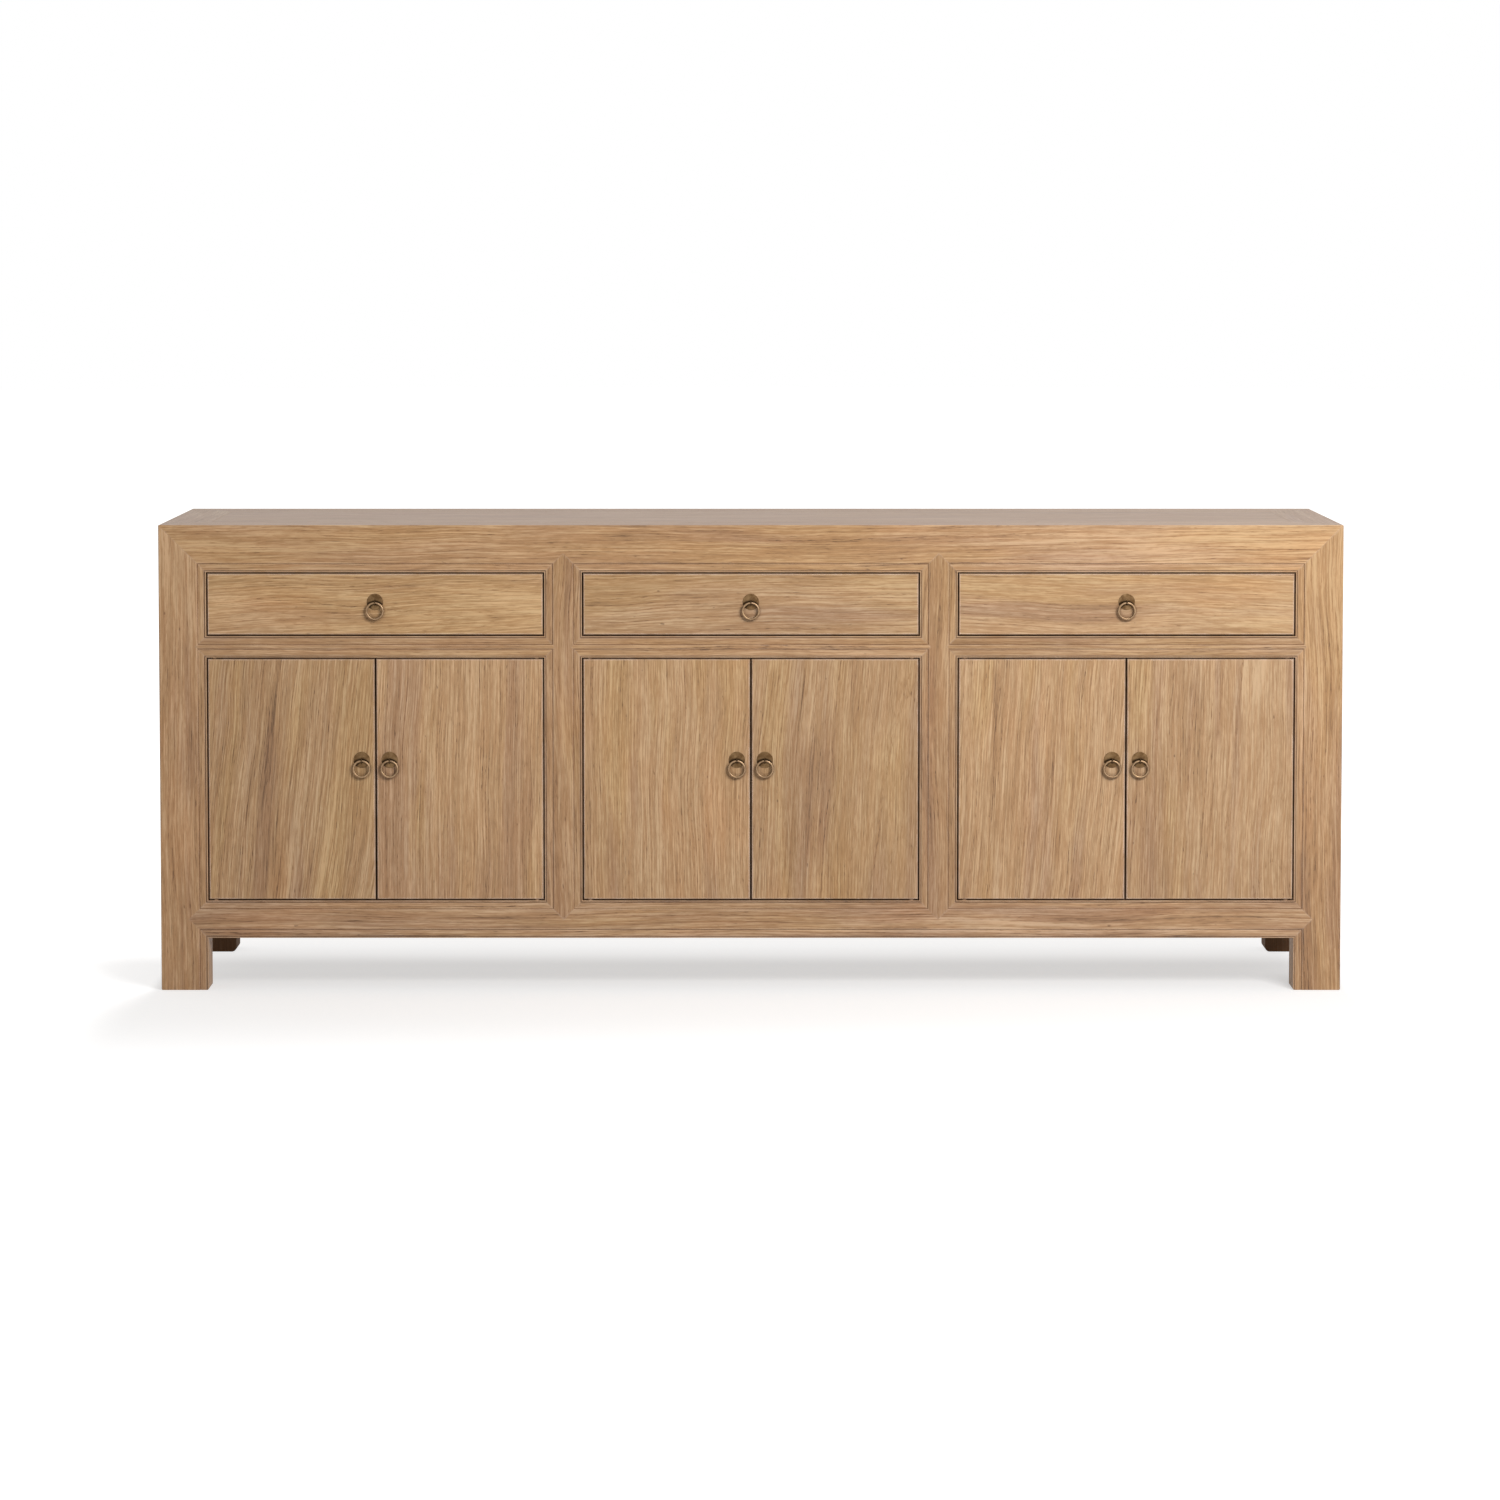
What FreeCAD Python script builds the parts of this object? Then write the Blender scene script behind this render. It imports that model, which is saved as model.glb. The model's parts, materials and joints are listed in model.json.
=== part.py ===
import FreeCAD, Part
import math
import os
import re
import Sketcher

# Long low cabinet: a frame of mitred and pointed joints, three drawers over three
# pairs of pivot-hung doors, each with a ring pull.
# Millimetres. +X to the right, +Y to the back, +Z up. The origin is on the floor,
# in the middle of the footprint that the cabinet and its pulls cover.

# Driving sizes
SIZES = [
    ("overall_width", 2200),
    ("overall_depth", 450),
    ("overall_height", 870),
    # Frame members
    ("leg_width", 88),
    ("frame_depth", 56),
    ("post_width", 70),
    ("foot_height", 98),
    ("bottom_rail_height", 70),
    ("drawer_rail_height", 40),
    ("drawer_opening_height", 119),
    ("top_thickness", 26),
    ("side_rail_depth", 40),
    ("front_arris", 2),
    ("plain_arris", 1.5),
    ("front_foot_round", 3),
    ("back_foot_round", 9),
    # Moulding run round every opening
    ("bead_width", 2.2),
    ("bead_ease", 0.6),
    ("quirk_width", 1.5),
    ("quirk_depth", 1.5),
    ("band_width", 10.8),
    ("band_sink", 0.4),
    ("band_slope", 4.5),
    ("band_fall", 0.8),
    ("groove_width", 2.4),
    ("groove_depth", 1.8),
    # Joints
    ("shoulder_depth", 16),
    ("tenon_inset", 8),
    ("tenon_thickness", 16),
    ("leg_tenon_length", 45),
    ("post_tenon_length", 28),
    ("drawer_rail_tenon_length", 24),
    ("mortise_play", 1),
    ("corner_tenon_drop", 20),
    ("side_tenon_length", 26),
    # Boards and panels
    ("tongue_depth", 8),
    ("panel_play", 1.5),
    ("seam_width", 0.5),
    ("side_panel_recess", 12),
    ("side_panel_thickness", 12),
    ("back_panel_recess", 14),
    ("back_panel_thickness", 10),
    ("partition_thickness", 14),
    ("floor_thickness", 15),
    ("floor_drop", 8),
    ("cross_rail_width", 50),
    ("cross_rail_height", 38),
    ("batten_width", 40),
    ("batten_height", 28),
    ("shelf_height", 384),
    ("shelf_thickness", 18),
    ("shelf_setback", 8),
    ("bearer_height", 24),
    ("board_clearance", 0.5),
    # Doors
    ("door_thickness", 22),
    ("front_recess", 1.2),
    ("reveal_gap", 2.5),
    ("meeting_gap", 3),
    ("face_ease", 1.5),
    ("pivot_inset", 12),
    ("pivot_setback", 8),
    ("pivot_radius", 5),
    ("pivot_length", 12),
    ("pivot_clearance", 0.1),
    ("pivot_end_clearance", 1),
    ("door_batten_width", 42),
    ("door_batten_thickness", 15),
    ("door_batten_side_gap", 34),
    ("door_batten_end_gap", 62),
    ("door_stop_length", 70),
    ("door_stop_drop", 14),
    ("door_stop_depth", 20),
    ("door_stop_gap", 0.4),
    # Drawers
    ("drawer_front_thickness", 20),
    ("drawer_side_thickness", 12),
    ("drawer_side_inset", 1.5),
    ("drawer_top_gap", 6),
    ("drawer_end_room", 43),
    ("drawer_bottom_thickness", 8),
    ("drawer_bottom_raise", 11),
    ("drawer_groove_depth", 5),
    ("dovetail_length", 13),
    ("dovetail_flare", 2.5),
    ("runner_width", 20),
    ("runner_thickness", 22),
    ("guide_height", 26),
    ("slide_clearance", 0.3),
    ("guide_clearance", 1),
    # Ring pulls
    ("plate_radius", 15.3),
    ("plate_thickness", 1.4),
    ("eye_wire_radius", 1.3),
    ("eye_drop", 1.5),
    ("ring_wire_radius", 2.25),
    ("ring_radius", 15),
    ("ring_play", 0.35),
    ("shank_radius", 1.8),
    ("shank_clearance", 0.1),
    ("clinch_length", 9),
    ("clinch_width", 3),
    ("clinch_thickness", 1.2),
    ("door_pull_offset", 26),
    ("door_pull_drop", 191),
    ("drawer_pull_drop", 55),
]

# Sizes that follow from the driving ones
DERIVED = {
    "left": "-overall_width / 2",
    "right": "overall_width / 2",
    "eye_radius": "ring_wire_radius + ring_play + eye_wire_radius",
    "eye_reach": "eye_radius + eye_wire_radius",
    "pull_reach": "plate_thickness + 2 * eye_reach - front_recess",
    "front": "-(overall_depth + pull_reach) / 2 + pull_reach",
    "back": "front + overall_depth",
    "front_inner": "front + frame_depth",
    "back_inner": "back - frame_depth",
    "top": "overall_height",
    "top_underside": "top - top_thickness",
    "top_rail_height": "leg_width",
    "drawer_top": "top - top_rail_height",
    "drawer_base": "drawer_top - drawer_opening_height",
    "door_top": "drawer_base - drawer_rail_height",
    "door_base": "foot_height + bottom_rail_height",
    "bay_width": "(overall_width - 2 * leg_width - 2 * post_width) / 3",
    "bay_pitch": "bay_width + post_width",
    "half_bay": "bay_width / 2",
    "post_line": "bay_pitch / 2",
    "moulding_width": "bead_width + quirk_width + band_width + groove_width",
    "tenon_front": "shoulder_depth + tenon_inset / 2",
    "floor_top": "door_base - floor_drop",
    "floor_base": "floor_top - floor_thickness",
    "batten_base": "top_underside - batten_height",
    "wall_offset": "post_line - partition_thickness / 2",
    "face": "front + front_recess",
    "runner_top": "drawer_base + reveal_gap - slide_clearance",
    "box_half": "half_bay - reveal_gap - drawer_side_inset",
    "door_pull_height": "door_top - door_pull_drop",
    "drawer_pull_height": "drawer_top - drawer_pull_drop",
}

# Facets that stand for the small round forms of the pulls
PLATE_SIDES = 24
SHANK_SIDES = 8
RING_FACETS = (18, 6)
EYE_FACETS = (8, 6)

BAYS = {"1": "-bay_pitch", "2": "0", "3": "bay_pitch"}
ALIASES = {name for name, size in SIZES}
WORD = re.compile(r"[a-z][a-z_]*")

X_AXIS = FreeCAD.Vector(1, 0, 0)
Y_AXIS = FreeCAD.Vector(0, 1, 0)
Z_AXIS = FreeCAD.Vector(0, 0, 1)
PLANES = {
    "XY": (FreeCAD.Rotation(X_AXIS, Y_AXIS, Z_AXIS), Z_AXIS, "z"),
    "XZ": (FreeCAD.Rotation(X_AXIS, Z_AXIS, -Y_AXIS), Y_AXIS, "y"),
    "YZ": (FreeCAD.Rotation(Y_AXIS, Z_AXIS, X_AXIS), X_AXIS, "x"),
}

doc = FreeCAD.newDocument("kang_cabinet")
sheet = doc.addObject("Spreadsheet::Sheet", "Sizes")
for row, (size_name, size) in enumerate(SIZES, start=1):
    sheet.set(f"A{row}", size_name)
    sheet.set(f"B{row}", str(size))
    sheet.setAlias(f"B{row}", size_name)
doc.recompute()

nodes = []


# Formulas

def formula(text):
    """A formula in named sizes, written out as an expression on the sheet."""
    def swap(match):
        word = match.group(0)
        if word in DERIVED:
            return "(" + formula(DERIVED[word]) + ")"
        if word in ALIASES:
            return "Sizes." + word
        return word
    return WORD.sub(swap, text)


def number(text):
    """The present value of a formula."""
    return float(sheet.evalExpression(formula(text)))


def bind(item, place, text):
    item.setExpression(place, formula(text))


# Shapes

def box(name, x, y, z):
    """A block between a low and a high formula along each axis."""
    item = doc.addObject("Part::Box", name)
    for side, place, (low, high) in (("Length", "x", x), ("Width", "y", y), ("Height", "z", z)):
        bind(item, side, f"({high}) - ({low})")
        bind(item, "Placement.Base." + place, low)
    return item


def fill_sketch(sketch, loops):
    """Closed loops of corners (u, v). A corner (u, v, cu, cv) is reached along an arc round (cu, cv)."""
    for loop in loops:
        spots = [FreeCAD.Vector(number(c[0]), number(c[1]), 0) for c in loop]
        ends = []
        for i, corner in enumerate(loop):
            start, end = spots[i - 1], spots[i]
            if len(corner) == 2:
                line = sketch.addGeometry(Part.LineSegment(start, end))
                ends.append((line, 1, 2))
                continue
            centre = FreeCAD.Vector(number(corner[2]), number(corner[3]), 0)
            turns_left = (start - centre).cross(end - centre).z > 0
            first, last = (start, end) if turns_left else (end, start)
            circle = Part.Circle(centre, Z_AXIS, (start - centre).Length)
            angles = [math.atan2((p - centre).y, (p - centre).x) for p in (first, last)]
            arc = sketch.addGeometry(Part.ArcOfCircle(circle, *angles))
            ends.append((arc, 1, 2) if turns_left else (arc, 2, 1))
            limit = sketch.addConstraint(Sketcher.Constraint("DistanceX", -1, 1, arc, 3, centre.x))
            bind(sketch, f"Constraints[{limit}]", corner[2])
        for i, corner in enumerate(loop):
            edge, begin, finish = ends[i]
            after, after_begin, after_finish = ends[(i + 1) % len(ends)]
            sketch.addConstraint(Sketcher.Constraint("Coincident", edge, finish, after, after_begin))
            for kind, text, spot in (("DistanceX", corner[0], spots[i].x),
                                     ("DistanceY", corner[1], spots[i].y)):
                limit = sketch.addConstraint(Sketcher.Constraint(kind, -1, 1, edge, finish, spot))
                bind(sketch, f"Constraints[{limit}]", text)


def prism(name, plane, loops, low, high):
    """Outlines drawn on a plane and extruded square to it, from low to high."""
    turn, along, place = PLANES[plane]
    sketch = doc.addObject("Sketcher::SketchObject", name + "_outline")
    sketch.Placement = FreeCAD.Placement(FreeCAD.Vector(), turn)
    bind(sketch, "Placement.Base." + place, low)
    fill_sketch(sketch, loops)
    item = doc.addObject("Part::Extrusion", name)
    item.Base = sketch
    item.DirMode = "Custom"
    item.Dir = along
    item.Solid = True
    bind(item, "LengthFwd", f"({high}) - ({low})")
    return item


def cylinder(name, spot, radius, height):
    item = doc.addObject("Part::Cylinder", name)
    bind(item, "Radius", radius)
    bind(item, "Height", height)
    for place, text in zip("xyz", spot):
        bind(item, "Placement.Base." + place, text)
    return item


def fuse(name, items):
    item = doc.addObject("Part::MultiFuse", name)
    item.Shapes = items
    item.Refine = True
    return item


def common(name, items):
    item = doc.addObject("Part::MultiCommon", name)
    item.Shapes = items
    item.Refine = True
    return item


def cut(name, base, tools):
    item = doc.addObject("Part::Cut", name)
    item.Base = base
    item.Tool = tools[0] if len(tools) == 1 else group(name + "_tools", tools)
    item.Refine = True
    return item


def group(name, items):
    item = doc.addObject("Part::Compound", name)
    item.Links = items
    return item


def mirror(name, item, across="0", normal=X_AXIS):
    copy = doc.addObject("Part::Mirroring", name)
    copy.Source = item
    copy.Normal = normal
    bind(copy, "Base." + ("x" if normal is X_AXIS else "y"), across)
    return copy


def keep(name, item):
    """List an object as a finished piece of the cabinet."""
    item.Label = name
    nodes.append(item)
    return item


def pair(name, item):
    """A finished piece on the left and its mirror image on the right."""
    keep(name + "_left", item)
    return item, keep(name + "_right", mirror(name + "_mirrored", item))


# Moulding

def moulding(edge, away):
    """(place, depth) from the opening's edge on to the flat of the face; away is + or -."""
    quirk = "bead_width + quirk_width"
    band = quirk + " + band_width"
    steps = [
        ("0", "bead_ease"),
        ("bead_ease", "0"),
        ("bead_width - bead_ease", "0"),
        ("bead_width", "bead_ease"),
        ("bead_width", "quirk_depth"),
        (quirk, "quirk_depth"),
        (quirk, "band_sink"),
        (band + " - band_slope", "band_sink"),
        (band, "band_sink + band_fall"),
        (band + " + groove_width / 2", "groove_depth"),
        ("moulding_width", "0"),
    ]
    return [(f"{edge} {away} ({place})", depth) for place, depth in steps]


def rail_outline(low, high):
    """Section of a front rail with the moulding on both edges, in Y and Z."""
    below = [(f"front + {depth}", place) for place, depth in moulding(low, "+")]
    above = [(f"front + {depth}", place) for place, depth in moulding(high, "-")]
    return above + below[::-1] + [("front_inner", low), ("front_inner", high)]


# Joints

def tenons(name, low, high, length, across, ends):
    """Two blocks beyond a member's ends along X or Z, with the thickness of its tenons."""
    depth = ("front + tenon_front", "front + tenon_front + tenon_thickness")
    inner = (f"({across[0]}) + tenon_inset", f"({across[1]}) - tenon_inset")
    made = []
    for tag, span in (("low", (f"({low}) - ({length})", low)), ("high", (high, f"({high}) + ({length})"))):
        if ends == "x":
            made.append(box(f"{name}_{tag}", span, depth, inner))
        else:
            made.append(box(f"{name}_{tag}", inner, depth, span))
    return made


def pointed_member(name, section, low, high, across, tenon, ends):
    """A front member whose ends are pointed at the face and square with a tenon behind it.

    section is its moulded outline, low and high are its shoulders, and across are its two edges.
    The second result is what the members beside it are cut back by."""
    tip = f"(({across[1]}) - ({across[0]})) / 2"
    middle = f"(({across[0]}) + ({across[1]})) / 2"
    corners = [(low, across[0]), (high, across[0]), (f"({high}) + ({tip})", middle),
               (high, across[1]), (low, across[1]), (f"({low}) - ({tip})", middle)]
    if ends == "z":
        corners = [corner[::-1] for corner in corners]
    plane = "YZ" if ends == "x" else "XY"
    run = prism(name + "_run", plane, [section], f"({low}) - ({tip})", f"({high}) + ({tip})")
    points = prism(name + "_points", "XZ", [corners], "front", "front + shoulder_depth")
    depth = ("front + shoulder_depth", "front_inner")
    spans = [(low, high), across] if ends == "x" else [across, (low, high)]
    heart = box(name + "_heart", spans[0], depth, spans[1])
    shaped = common(name + "_shaped", [run, fuse(name + "_envelope", [points, heart])])
    body = fuse(name, [shaped] + tenons(name + "_tenon", low, high, tenon, across, ends))
    mortises = tenons(name + "_mortise", low, high, tenon + " + mortise_play", across, ends)
    seat = fuse(name + "_seat", [points] + mortises)
    return body, seat


# Boards held in grooves

def floating(name, x, y, z, play):
    """A board, and the larger space grooved for it; play names the axes with room to move."""
    board = box(name, x, y, z)
    room = [(f"({low}) - panel_play", f"({high}) + panel_play") if axis in play else (low, high)
            for axis, (low, high) in zip("xyz", (x, y, z))]
    return board, box(name + "_room", *room)


# Pivot holes for the doors, above and below each opening

def pivot_place(middle, sign):
    """Where a door turns: its outer edge is to the left of the bay for -, to the right for +."""
    return (f"{middle} {sign} (half_bay - reveal_gap - pivot_inset)", "face + pivot_setback")


hole_depth = "pivot_length - reveal_gap + pivot_end_clearance"
upper_holes = {bay: [] for bay in BAYS}
lower_holes = []
for bay, middle in BAYS.items():
    for side, sign in (("left", "-"), ("right", "+")):
        spot = pivot_place(middle, sign)
        upper_holes[bay].append(cylinder(f"pivot_hole_upper_{bay}_{side}", (*spot, "door_top"),
                                         "pivot_radius + pivot_clearance", hole_depth))
        lower_holes.append(cylinder(f"pivot_hole_lower_{bay}_{side}",
                                    (*spot, f"door_base - ({hole_depth})"),
                                    "pivot_radius + pivot_clearance", hole_depth))


# Bottom rail and drawer rails at the front

inner_left = "left + leg_width"
inner_right = "right - leg_width"

bottom_front_blank, bottom_front_seat = pointed_member(
    "bottom_rail_front_blank", rail_outline("foot_height", "door_base"),
    inner_left, inner_right, ("foot_height", "door_base"), "leg_tenon_length", "x")

drawer_rail_blanks = {}
drawer_rail_seats = {}
for bay, middle in BAYS.items():
    drawer_rail_blanks[bay], drawer_rail_seats[bay] = pointed_member(
        f"drawer_rail_{bay}_blank", rail_outline("door_top", "drawer_base"),
        f"{middle} - half_bay", f"{middle} + half_bay", ("door_top", "drawer_base"),
        "drawer_rail_tenon_length", "x")


# Front posts

def post_outline(low, high):
    """Section of a front post with the moulding on both edges, in X and Y."""
    before = [(place, f"front + {depth}") for place, depth in moulding(low, "+")]
    after = [(place, f"front + {depth}") for place, depth in moulding(high, "-")]
    return before + after[::-1] + [(high, "front_inner"), (low, "front_inner")]


post_low = "-post_line - post_width / 2"
post_high = "-post_line + post_width / 2"
post_blank, post_seat = pointed_member(
    "post_front_blank", post_outline(post_low, post_high),
    "door_base", "drawer_top", (post_low, post_high), "post_tenon_length", "z")
post_seat_right = mirror("post_front_seat_right", post_seat)


# Boards held by the frame

tongue_front = "front_inner - tongue_depth"
tongue_back = "back_inner + tongue_depth"

back_panels = []
back_rooms = []
for bay, middle in BAYS.items():
    panel, room = floating(
        f"back_panel_{bay}",
        (f"{middle} - half_bay - tongue_depth", f"{middle} + half_bay + tongue_depth"),
        ("back - back_panel_recess - back_panel_thickness", "back - back_panel_recess"),
        ("door_base - tongue_depth", "drawer_top + tongue_depth"), "xz")
    back_panels.append(panel)
    back_rooms.append(room)

side_panel, side_room = floating(
    "side_panel_left_board",
    ("left + side_panel_recess", "left + side_panel_recess + side_panel_thickness"),
    (tongue_front, tongue_back),
    ("door_base - tongue_depth", "drawer_top + tongue_depth"), "yz")

partition, partition_room = floating(
    "partition_left_board",
    ("-post_line - partition_thickness / 2", "-post_line + partition_thickness / 2"),
    (tongue_front, tongue_back), ("floor_base", "batten_base"), "y")
partition_room_right = mirror("partition_room_right", partition_room)

floor_left, floor_room = floating(
    "floor_board_left",
    ("left + side_rail_depth - tongue_depth", "-wall_offset - partition_thickness"),
    (tongue_front, tongue_back), ("floor_base", "floor_top"), "xy")
floor_middle, floor_middle_room = floating(
    "floor_board_middle", ("-wall_offset", "wall_offset"),
    (tongue_front, tongue_back), ("floor_base", "floor_top"), "y")
floor_room_right = mirror("floor_room_right", floor_room)
floor_rooms = [floor_room, floor_middle_room, floor_room_right]


# Cross rails under the partitions, tenoned into both bottom rails

cross_span = ("-post_line - cross_rail_width / 2", "-post_line + cross_rail_width / 2")
cross_height = ("floor_base - cross_rail_height", "floor_base")
cross_rail = box("cross_rail_left_bar", cross_span,
                 ("front_inner - tenon_thickness", "back_inner + tenon_thickness"), cross_height)
cross_rail_right = mirror("cross_rail_right_bar", cross_rail)
keep("cross_rails", group("cross_rails", [cross_rail, cross_rail_right]))


# Bottom rails

keep("bottom_rail_front", cut(
    "bottom_rail_front", bottom_front_blank,
    [post_seat, post_seat_right, cross_rail, cross_rail_right, partition_room,
     partition_room_right] + floor_rooms + lower_holes))

back_tenon_depth = ("back - tenon_front - tenon_thickness", "back - tenon_front")


def back_tenons(name, spans, height):
    return [box(f"{name}_{i}", span, back_tenon_depth, height) for i, span in enumerate(spans)]


bottom_tenon_height = ("foot_height + tenon_inset", "floor_base - tenon_inset")
bottom_back_tenons = back_tenons(
    "bottom_rail_back_tenon",
    [(f"{inner_left} - leg_tenon_length", inner_left),
     (inner_right, f"{inner_right} + leg_tenon_length")], bottom_tenon_height)
bottom_back_mortises = back_tenons(
    "bottom_rail_back_mortise",
    [(f"{inner_left} - leg_tenon_length - mortise_play", inner_left)], bottom_tenon_height)
back_post_tenon_width = (f"{post_low} + tenon_inset", f"{post_high} - tenon_inset")


def back_post_ends(tag, length):
    return [
        box(f"post_back_{tag}_foot", back_post_tenon_width, back_tenon_depth,
            (f"door_base - ({length})", "door_base")),
        box(f"post_back_{tag}_head", back_post_tenon_width, back_tenon_depth,
            ("drawer_top", f"drawer_top + {length}")),
    ]


back_post_seat = group("post_back_seat", back_post_ends("mortise", "post_tenon_length + mortise_play"))
back_post_seat_right = mirror("post_back_seat_right", back_post_seat)
bottom_back_bar = box("bottom_rail_back_bar", (inner_left, inner_right),
                      ("back_inner", "back"), ("foot_height", "door_base"))
keep("bottom_rail_back", cut(
    "bottom_rail_back", fuse("bottom_rail_back_blank", [bottom_back_bar] + bottom_back_tenons),
    [back_post_seat, back_post_seat_right, cross_rail, cross_rail_right, partition_room,
     partition_room_right] + floor_rooms + back_rooms))

side_rail_tenon = ("left + tenon_inset", "left + tenon_inset + tenon_thickness")


def side_rail_bar(name, overrun, x, z):
    return box(name, x, (f"front_inner - ({overrun})", f"back_inner + {overrun}"), z)


side_bottom = fuse("bottom_rail_side_blank", [
    side_rail_bar("bottom_rail_side_bar", "0", ("left", "left + side_rail_depth"),
                  ("foot_height", "door_base")),
    side_rail_bar("bottom_rail_side_tenon", "side_tenon_length", side_rail_tenon,
                  bottom_tenon_height)])
side_bottom_mortise = side_rail_bar(
    "bottom_rail_side_mortise", "side_tenon_length + mortise_play", side_rail_tenon,
    bottom_tenon_height)
side_bottom_left = cut("bottom_rail_side_left", side_bottom, [side_room, floor_room])
keep("bottom_rails_side", group(
    "bottom_rails_side", [side_bottom_left, mirror("bottom_rail_side_right", side_bottom_left)]))


# Back posts

back_post_bar = box("post_back_bar", (post_low, post_high), ("back_inner", "back"),
                    ("door_base", "drawer_top"))
back_post = cut("post_back_left_post",
                fuse("post_back_blank", [back_post_bar] + back_post_ends("tenon", "post_tenon_length")),
                [partition_room] + back_rooms[:2])
keep("posts_back", group("posts_back", [back_post, mirror("post_back_right_post", back_post)]))


# Finished front posts and drawer rails

front_post = cut("post_front_left_post", post_blank,
                 [drawer_rail_seats["1"], drawer_rail_seats["2"], partition_room])
pair("post_front", front_post)
for bay in BAYS:
    keep(f"drawer_rail_{bay}", cut(f"drawer_rail_{bay}", drawer_rail_blanks[bay], upper_holes[bay]))


# Legs: the top of each is mitred three ways with the rails of the top

def leg_height_outline(foot_round):
    """A leg seen from the front, with its mitred top and its rounded foot."""
    return [
        (f"left + leg_width - {foot_round}", "0"),
        ("left + leg_width", foot_round, f"left + leg_width - {foot_round}", foot_round),
        ("left + leg_width", "drawer_top"),
        ("left", "top"),
        ("left", foot_round),
        (f"left + {foot_round}", "0", f"left + {foot_round}", foot_round),
    ]


def side_mitre(name, edge, sign):
    """What the side rail takes from a leg: all that lies above a slope rising to the outer face."""
    return prism(name, "YZ", [[
        (edge, "top"), (f"{edge} {sign} frame_depth", "top - frame_depth"),
        (f"{edge} {sign} frame_depth", "top")]], "left", "left + leg_width")


front_leg_plan = [
    ("left", "front + front_arris"),
    ("left + front_arris", "front", "left + front_arris", "front + front_arris"),
] + [(place, f"front + {depth}") for place, depth in moulding(inner_left, "-")][::-1] + [
    (inner_left, "front_inner"),
    ("left + plain_arris", "front_inner"),
    ("left", "front_inner - plain_arris", "left + plain_arris", "front_inner - plain_arris"),
]
back_leg_plan = [
    ("left", "back_inner + plain_arris"),
    ("left + plain_arris", "back_inner", "left + plain_arris", "back_inner + plain_arris"),
    (inner_left, "back_inner"),
    (inner_left, "back"),
    ("left + plain_arris", "back"),
    ("left", "back - plain_arris", "left + plain_arris", "back - plain_arris"),
]


def corner_tenon(name, low, high, play):
    """The tenon at the head of a leg, which stands in the front or back rail of the top."""
    return box(name, ("left + leg_width / 2", "left + leg_width / 2 + tenon_thickness + tenon_inset"),
               (low, high), ("top - leg_width", f"top - corner_tenon_drop + {play}"))


def leg(name, plan, foot_round, depth, mitre, tenon, seats):
    column = prism(name + "_column", "XY", [plan], "0", "top")
    view = prism(name + "_view", "XZ", [leg_height_outline(foot_round)], *depth)
    shaped = cut(name + "_mitred", common(name + "_shaped", [column, view]), [mitre])
    pair(name, cut(name + "_leg", fuse(name + "_blank", [shaped, tenon]), seats))


front_tenon_depth = ("front + tenon_front", "front + tenon_front + tenon_thickness")
side_rail_end_tenon = ("left + side_rail_depth - tenon_thickness", "left + side_rail_depth")
side_end_height = ("drawer_top + 2 * tongue_depth", "top - frame_depth - plain_arris")
side_top_tenon = side_rail_bar("top_rail_side_tenon", "side_tenon_length", side_rail_end_tenon,
                               side_end_height)
side_top_mortise = side_rail_bar("top_rail_side_mortise", "side_tenon_length + mortise_play",
                                 side_rail_end_tenon, side_end_height)
side_seats = [side_room, side_bottom_mortise, side_top_mortise, floor_room]

leg("leg_front", front_leg_plan, "front_foot_round", ("front", "front_inner"),
    side_mitre("leg_front_side_mitre", "front", "+"),
    corner_tenon("leg_front_tenon", *front_tenon_depth, "0"),
    [bottom_front_seat, drawer_rail_seats["1"]] + side_seats)
leg("leg_back", back_leg_plan, "back_foot_round", ("back_inner", "back"),
    side_mitre("leg_back_side_mitre", "back", "-"),
    corner_tenon("leg_back_tenon", *back_tenon_depth, "0"),
    bottom_back_mortises + [back_rooms[0]] + side_seats)


# Top: four mitred rails round a flush panel

panel_x = ("left + leg_width + seam_width", "right - leg_width - seam_width")
panel_y = ("front + leg_width + seam_width", "back - leg_width - seam_width")
tongue_height = ("top - top_thickness * 2 / 3", "top - top_thickness / 3")


def widened(span, extra):
    return (f"({span[0]}) - ({extra})", f"({span[1]}) + {extra}")


panel_tongue = box("top_panel_tongue", widened(panel_x, "tongue_depth"),
                   widened(panel_y, "tongue_depth"), tongue_height)
panel_groove = box("top_panel_groove", widened(panel_x, "tongue_depth + panel_play"),
                   widened(panel_y, "tongue_depth + panel_play"), tongue_height)
keep("top_panel", fuse("top_panel", [
    box("top_panel_board", panel_x, panel_y, ("top_underside", "top")), panel_tongue]))


def top_rail_outline(face, inward, moulded):
    """Section of a long rail of the top: a deep face with a wide leaf on top, in Y and Z."""
    if moulded:
        edge = [(f"front + {depth}", place) for place, depth in moulding("drawer_top", "+")][::-1]
        arris = "front_arris"
    else:
        edge = [(face, "drawer_top")]
        arris = "plain_arris"
    return edge + [
        (f"{face} {inward} frame_depth", "drawer_top"),
        (f"{face} {inward} frame_depth", "top_underside"),
        (f"{face} {inward} leg_width", "top_underside"),
        (f"{face} {inward} leg_width", "top"),
        (f"{face} {inward} {arris}", "top"),
        (face, f"top - {arris}", f"{face} {inward} {arris}", f"top - {arris}"),
    ]


def corner_cuts(name, face, inward):
    """What a long rail of the top leaves to the side rail and the leg at its left end."""
    plan = prism(name + "_plan", "XY", [[
        ("left", face), ("left + leg_width", f"{face} {inward} leg_width"),
        ("left", f"{face} {inward} leg_width")]], "drawer_top", "top")
    below = prism(name + "_below", "XZ", [[
        ("left", "drawer_top"), ("left + leg_width", "drawer_top"), ("left", "top")]],
        "front", "back")
    return [plan, below]


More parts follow.
